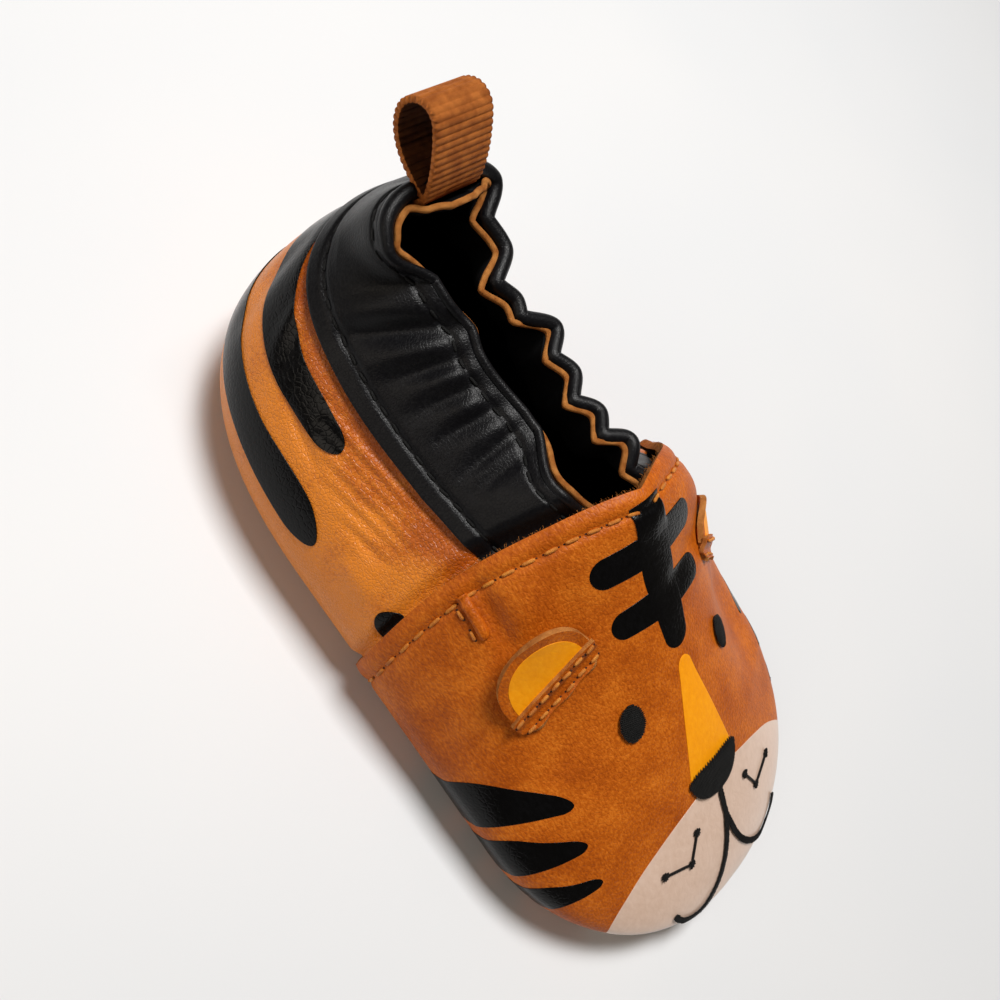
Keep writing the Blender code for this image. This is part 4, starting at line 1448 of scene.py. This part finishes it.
def make_ear(side, threads, holes):
    def place_ear(u, v):
        share = (u + 1) / 2
        return ear_point(share, ear_edge(share) * v - EAR_SINK, EAR_WALL + EAR_GAP, side)[0]

    def place_yellow(u, v):
        rounding = np.sqrt(np.clip(1.0 - np.abs(u) ** YELLOW_ROUNDNESS, 0.0, 1.0))
        top = (EAR_HEIGHT - YELLOW_MARGIN) * rounding
        return ear_point(0.5 + u * YELLOW_SHARE, top * v, EAR_WALL + EAR_GAP + PRINT_LIFT, side)[0]

    def place_flange(u, v):
        share = 0.5 + FLANGE_HALF * u
        rounding = 1.0 - FLANGE_CORNER * np.abs(u) ** 6
        height = FLANGE_BOTTOM * rounding + (FLANGE_TOP - FLANGE_BOTTOM) * rounding * v
        return ear_point(share, height, flange_lift(share, height), side)[0]

    flap = sheet(44, 30, place_ear)
    patch = film(36, 16, place_yellow)
    flange = sheet(44, 24, place_flange)
    layers = (tan_leather, tan_leather, raw_edge)
    flip = side < 0
    covered = (sided("ear", side),)
    keep(flap, sided("ear_flap", side), layers, covered, EAR_WALL, CUT_BEVEL, flip)
    keep(patch, sided("ear_inner", side), (yellow_print,), (), PRINT_FILM, 0.0, flip)
    keep(flange, sided("ear_flange", side), layers, (), FLANGE_WALL, FLANGE_BEVEL, flip)
    share = np.linspace(*EAR_SEAM, 80)
    for height in (UPPER_SEAM, LOWER_SEAM):
        heights = np.full_like(share, height)
        line, normals = ear_point(share, heights, flange_lift(share, heights), side)
        sew(threads, holes, line, normals, EAR_PITCH, EAR_STITCH, EAR_THREAD)


ear_threads = bmesh.new()
ear_holes = bmesh.new()
for side in (1, -1):
    make_ear(side, ear_threads, ear_holes)
keep(ear_threads, "ear_stitches", (tan_thread,))
# The needle-hole marks are dark blobs of painted shade.
keep(ear_holes, "ear_needle_hole_painted_shade", (needle_hole_painted_shade,))

# Sole and insole
SOLE_WALL = 2.4
SOLE_INSET = 0.3
INSOLE_WALL = 2.0
INSOLE_INSET = 0.9
INSOLE_TOP = SOLE_WALL + 0.3 + INSOLE_WALL
PAD_BEVEL = 0.6
SPINE_FRONT = -34.0
SPINE_BACK = 34.0


def place_plate(inset, height):
    """A plate that follows the sole, from its edge on one side to its edge on the other."""

    def place(u, v):
        turn = 3.0 * v
        edge_x, edge_y = outline(turn, read_column(SECTIONS, "tuck", turn) + inset)
        spine_y = np.clip(edge_y, SPINE_FRONT, SPINE_BACK)
        reach = np.abs(u)
        y = spine_y + (edge_y - spine_y) * reach
        return np.stack([edge_x * u, y, sole_rise(y) + height], axis=-1)

    return place


def make_plate(name, inset, height, wall, material, nodes):
    bm = sheet(24, 150, place_plate(inset, height))
    bmesh.ops.recalc_face_normals(bm, faces=bm.faces)
    if bm.faces[0].normal.z < 0:
        bmesh.ops.reverse_faces(bm, faces=bm.faces)
    return keep(bm, name, (material,), nodes, wall, PAD_BEVEL)


make_plate("sole_pad", SOLE_INSET, SOLE_WALL, SOLE_WALL, sole_suede, ("sole",))
insole = make_plate(
    "insole_pad", INSOLE_INSET, INSOLE_TOP, INSOLE_WALL, lining_cloth, ("insole",)
)

# Stage: pale floor, soft light and the photograph's viewing angle
FLOOR_HALF = 900.0
FLOOR_DARK = (0.71, 0.73, 0.755)
FLOOR_LIGHT = (0.745, 0.755, 0.77)
ROOM_COLOR = (1.0, 0.88, 0.74, 1.0)
ROOM_STRENGTH = 0.11
LIGHT_TARGET = (0.0, 0.0, 20.0)
LIGHT_UP = (0.0, 1.0, 0.1)
CAMERA_PLACE = (-95.8, 15.8, 146.9)
CAMERA_TARGET = (-4.7, 12.0, 20.0)
PHOTO_UP = (0.513, 0.813, 0.275)
CAMERA_LENS = 37.0


def make_floor():
    bm = bmesh.new()
    bmesh.ops.create_grid(bm, x_segments=4, y_segments=4, size=FLOOR_HALF * MM)
    mesh = bpy.data.meshes.new("floor")
    bm.to_mesh(mesh)
    bm.free()
    material, tree, shader = new_material("pale_floor", 0.6)
    place = node(tree, "ShaderNodeTexCoord").outputs["Object"]
    uneven = node(tree, "ShaderNodeTexNoise", {"Vector": place, "Scale": 0.01 / MM, "Detail": 2.0})
    color = tone_ramp(tree, uneven.outputs["Fac"], (0.3, FLOOR_DARK), (0.7, FLOOR_LIGHT))
    tree.links.new(color, shader.inputs["Base Color"])
    mesh.materials.append(material)
    floor = put_in_scene("floor", mesh)


def aim(place, target, up):
    """A matrix at place whose -Z looks at target, in metres."""
    place = Vector(place)
    back = (place - Vector(target)).normalized()
    right = Vector(up).cross(back).normalized()
    matrix = Matrix((right, back.cross(right), back)).transposed().to_4x4()
    matrix.translation = place * MM
    return matrix


def make_light(name, place, size, power, color):
    light = bpy.data.lights.new(name, "AREA")
    light.shape = "RECTANGLE"
    light.size = size * MM
    light.size_y = size * MM
    light.energy = power
    light.color = color
    lamp = put_in_scene(name, light)
    lamp.matrix_world = aim(place, LIGHT_TARGET, LIGHT_UP)


def make_camera():
    camera = put_in_scene("camera", bpy.data.cameras.new("camera"))
    camera.data.lens = CAMERA_LENS
    camera.data.sensor_width = 36.0
    camera.data.clip_start = 0.01
    camera.matrix_world = aim(CAMERA_PLACE, CAMERA_TARGET, PHOTO_UP)
    bpy.context.scene.camera = camera


make_floor()
make_light("key_light", (140.0, 165.0, 660.0), size=260.0, power=5.4, color=(1.0, 0.985, 0.965))
make_light("fill_light", (-520.0, 260.0, 420.0), size=400.0, power=0.8, color=(1.0, 0.90, 0.78))
make_camera()

world = bpy.data.worlds.new("studio")
world.use_nodes = True
room = world.node_tree.nodes["Background"]
room.inputs["Color"].default_value = ROOM_COLOR
room.inputs["Strength"].default_value = ROOM_STRENGTH
bpy.context.scene.world = world
bpy.context.scene.view_settings.view_transform = "Standard"
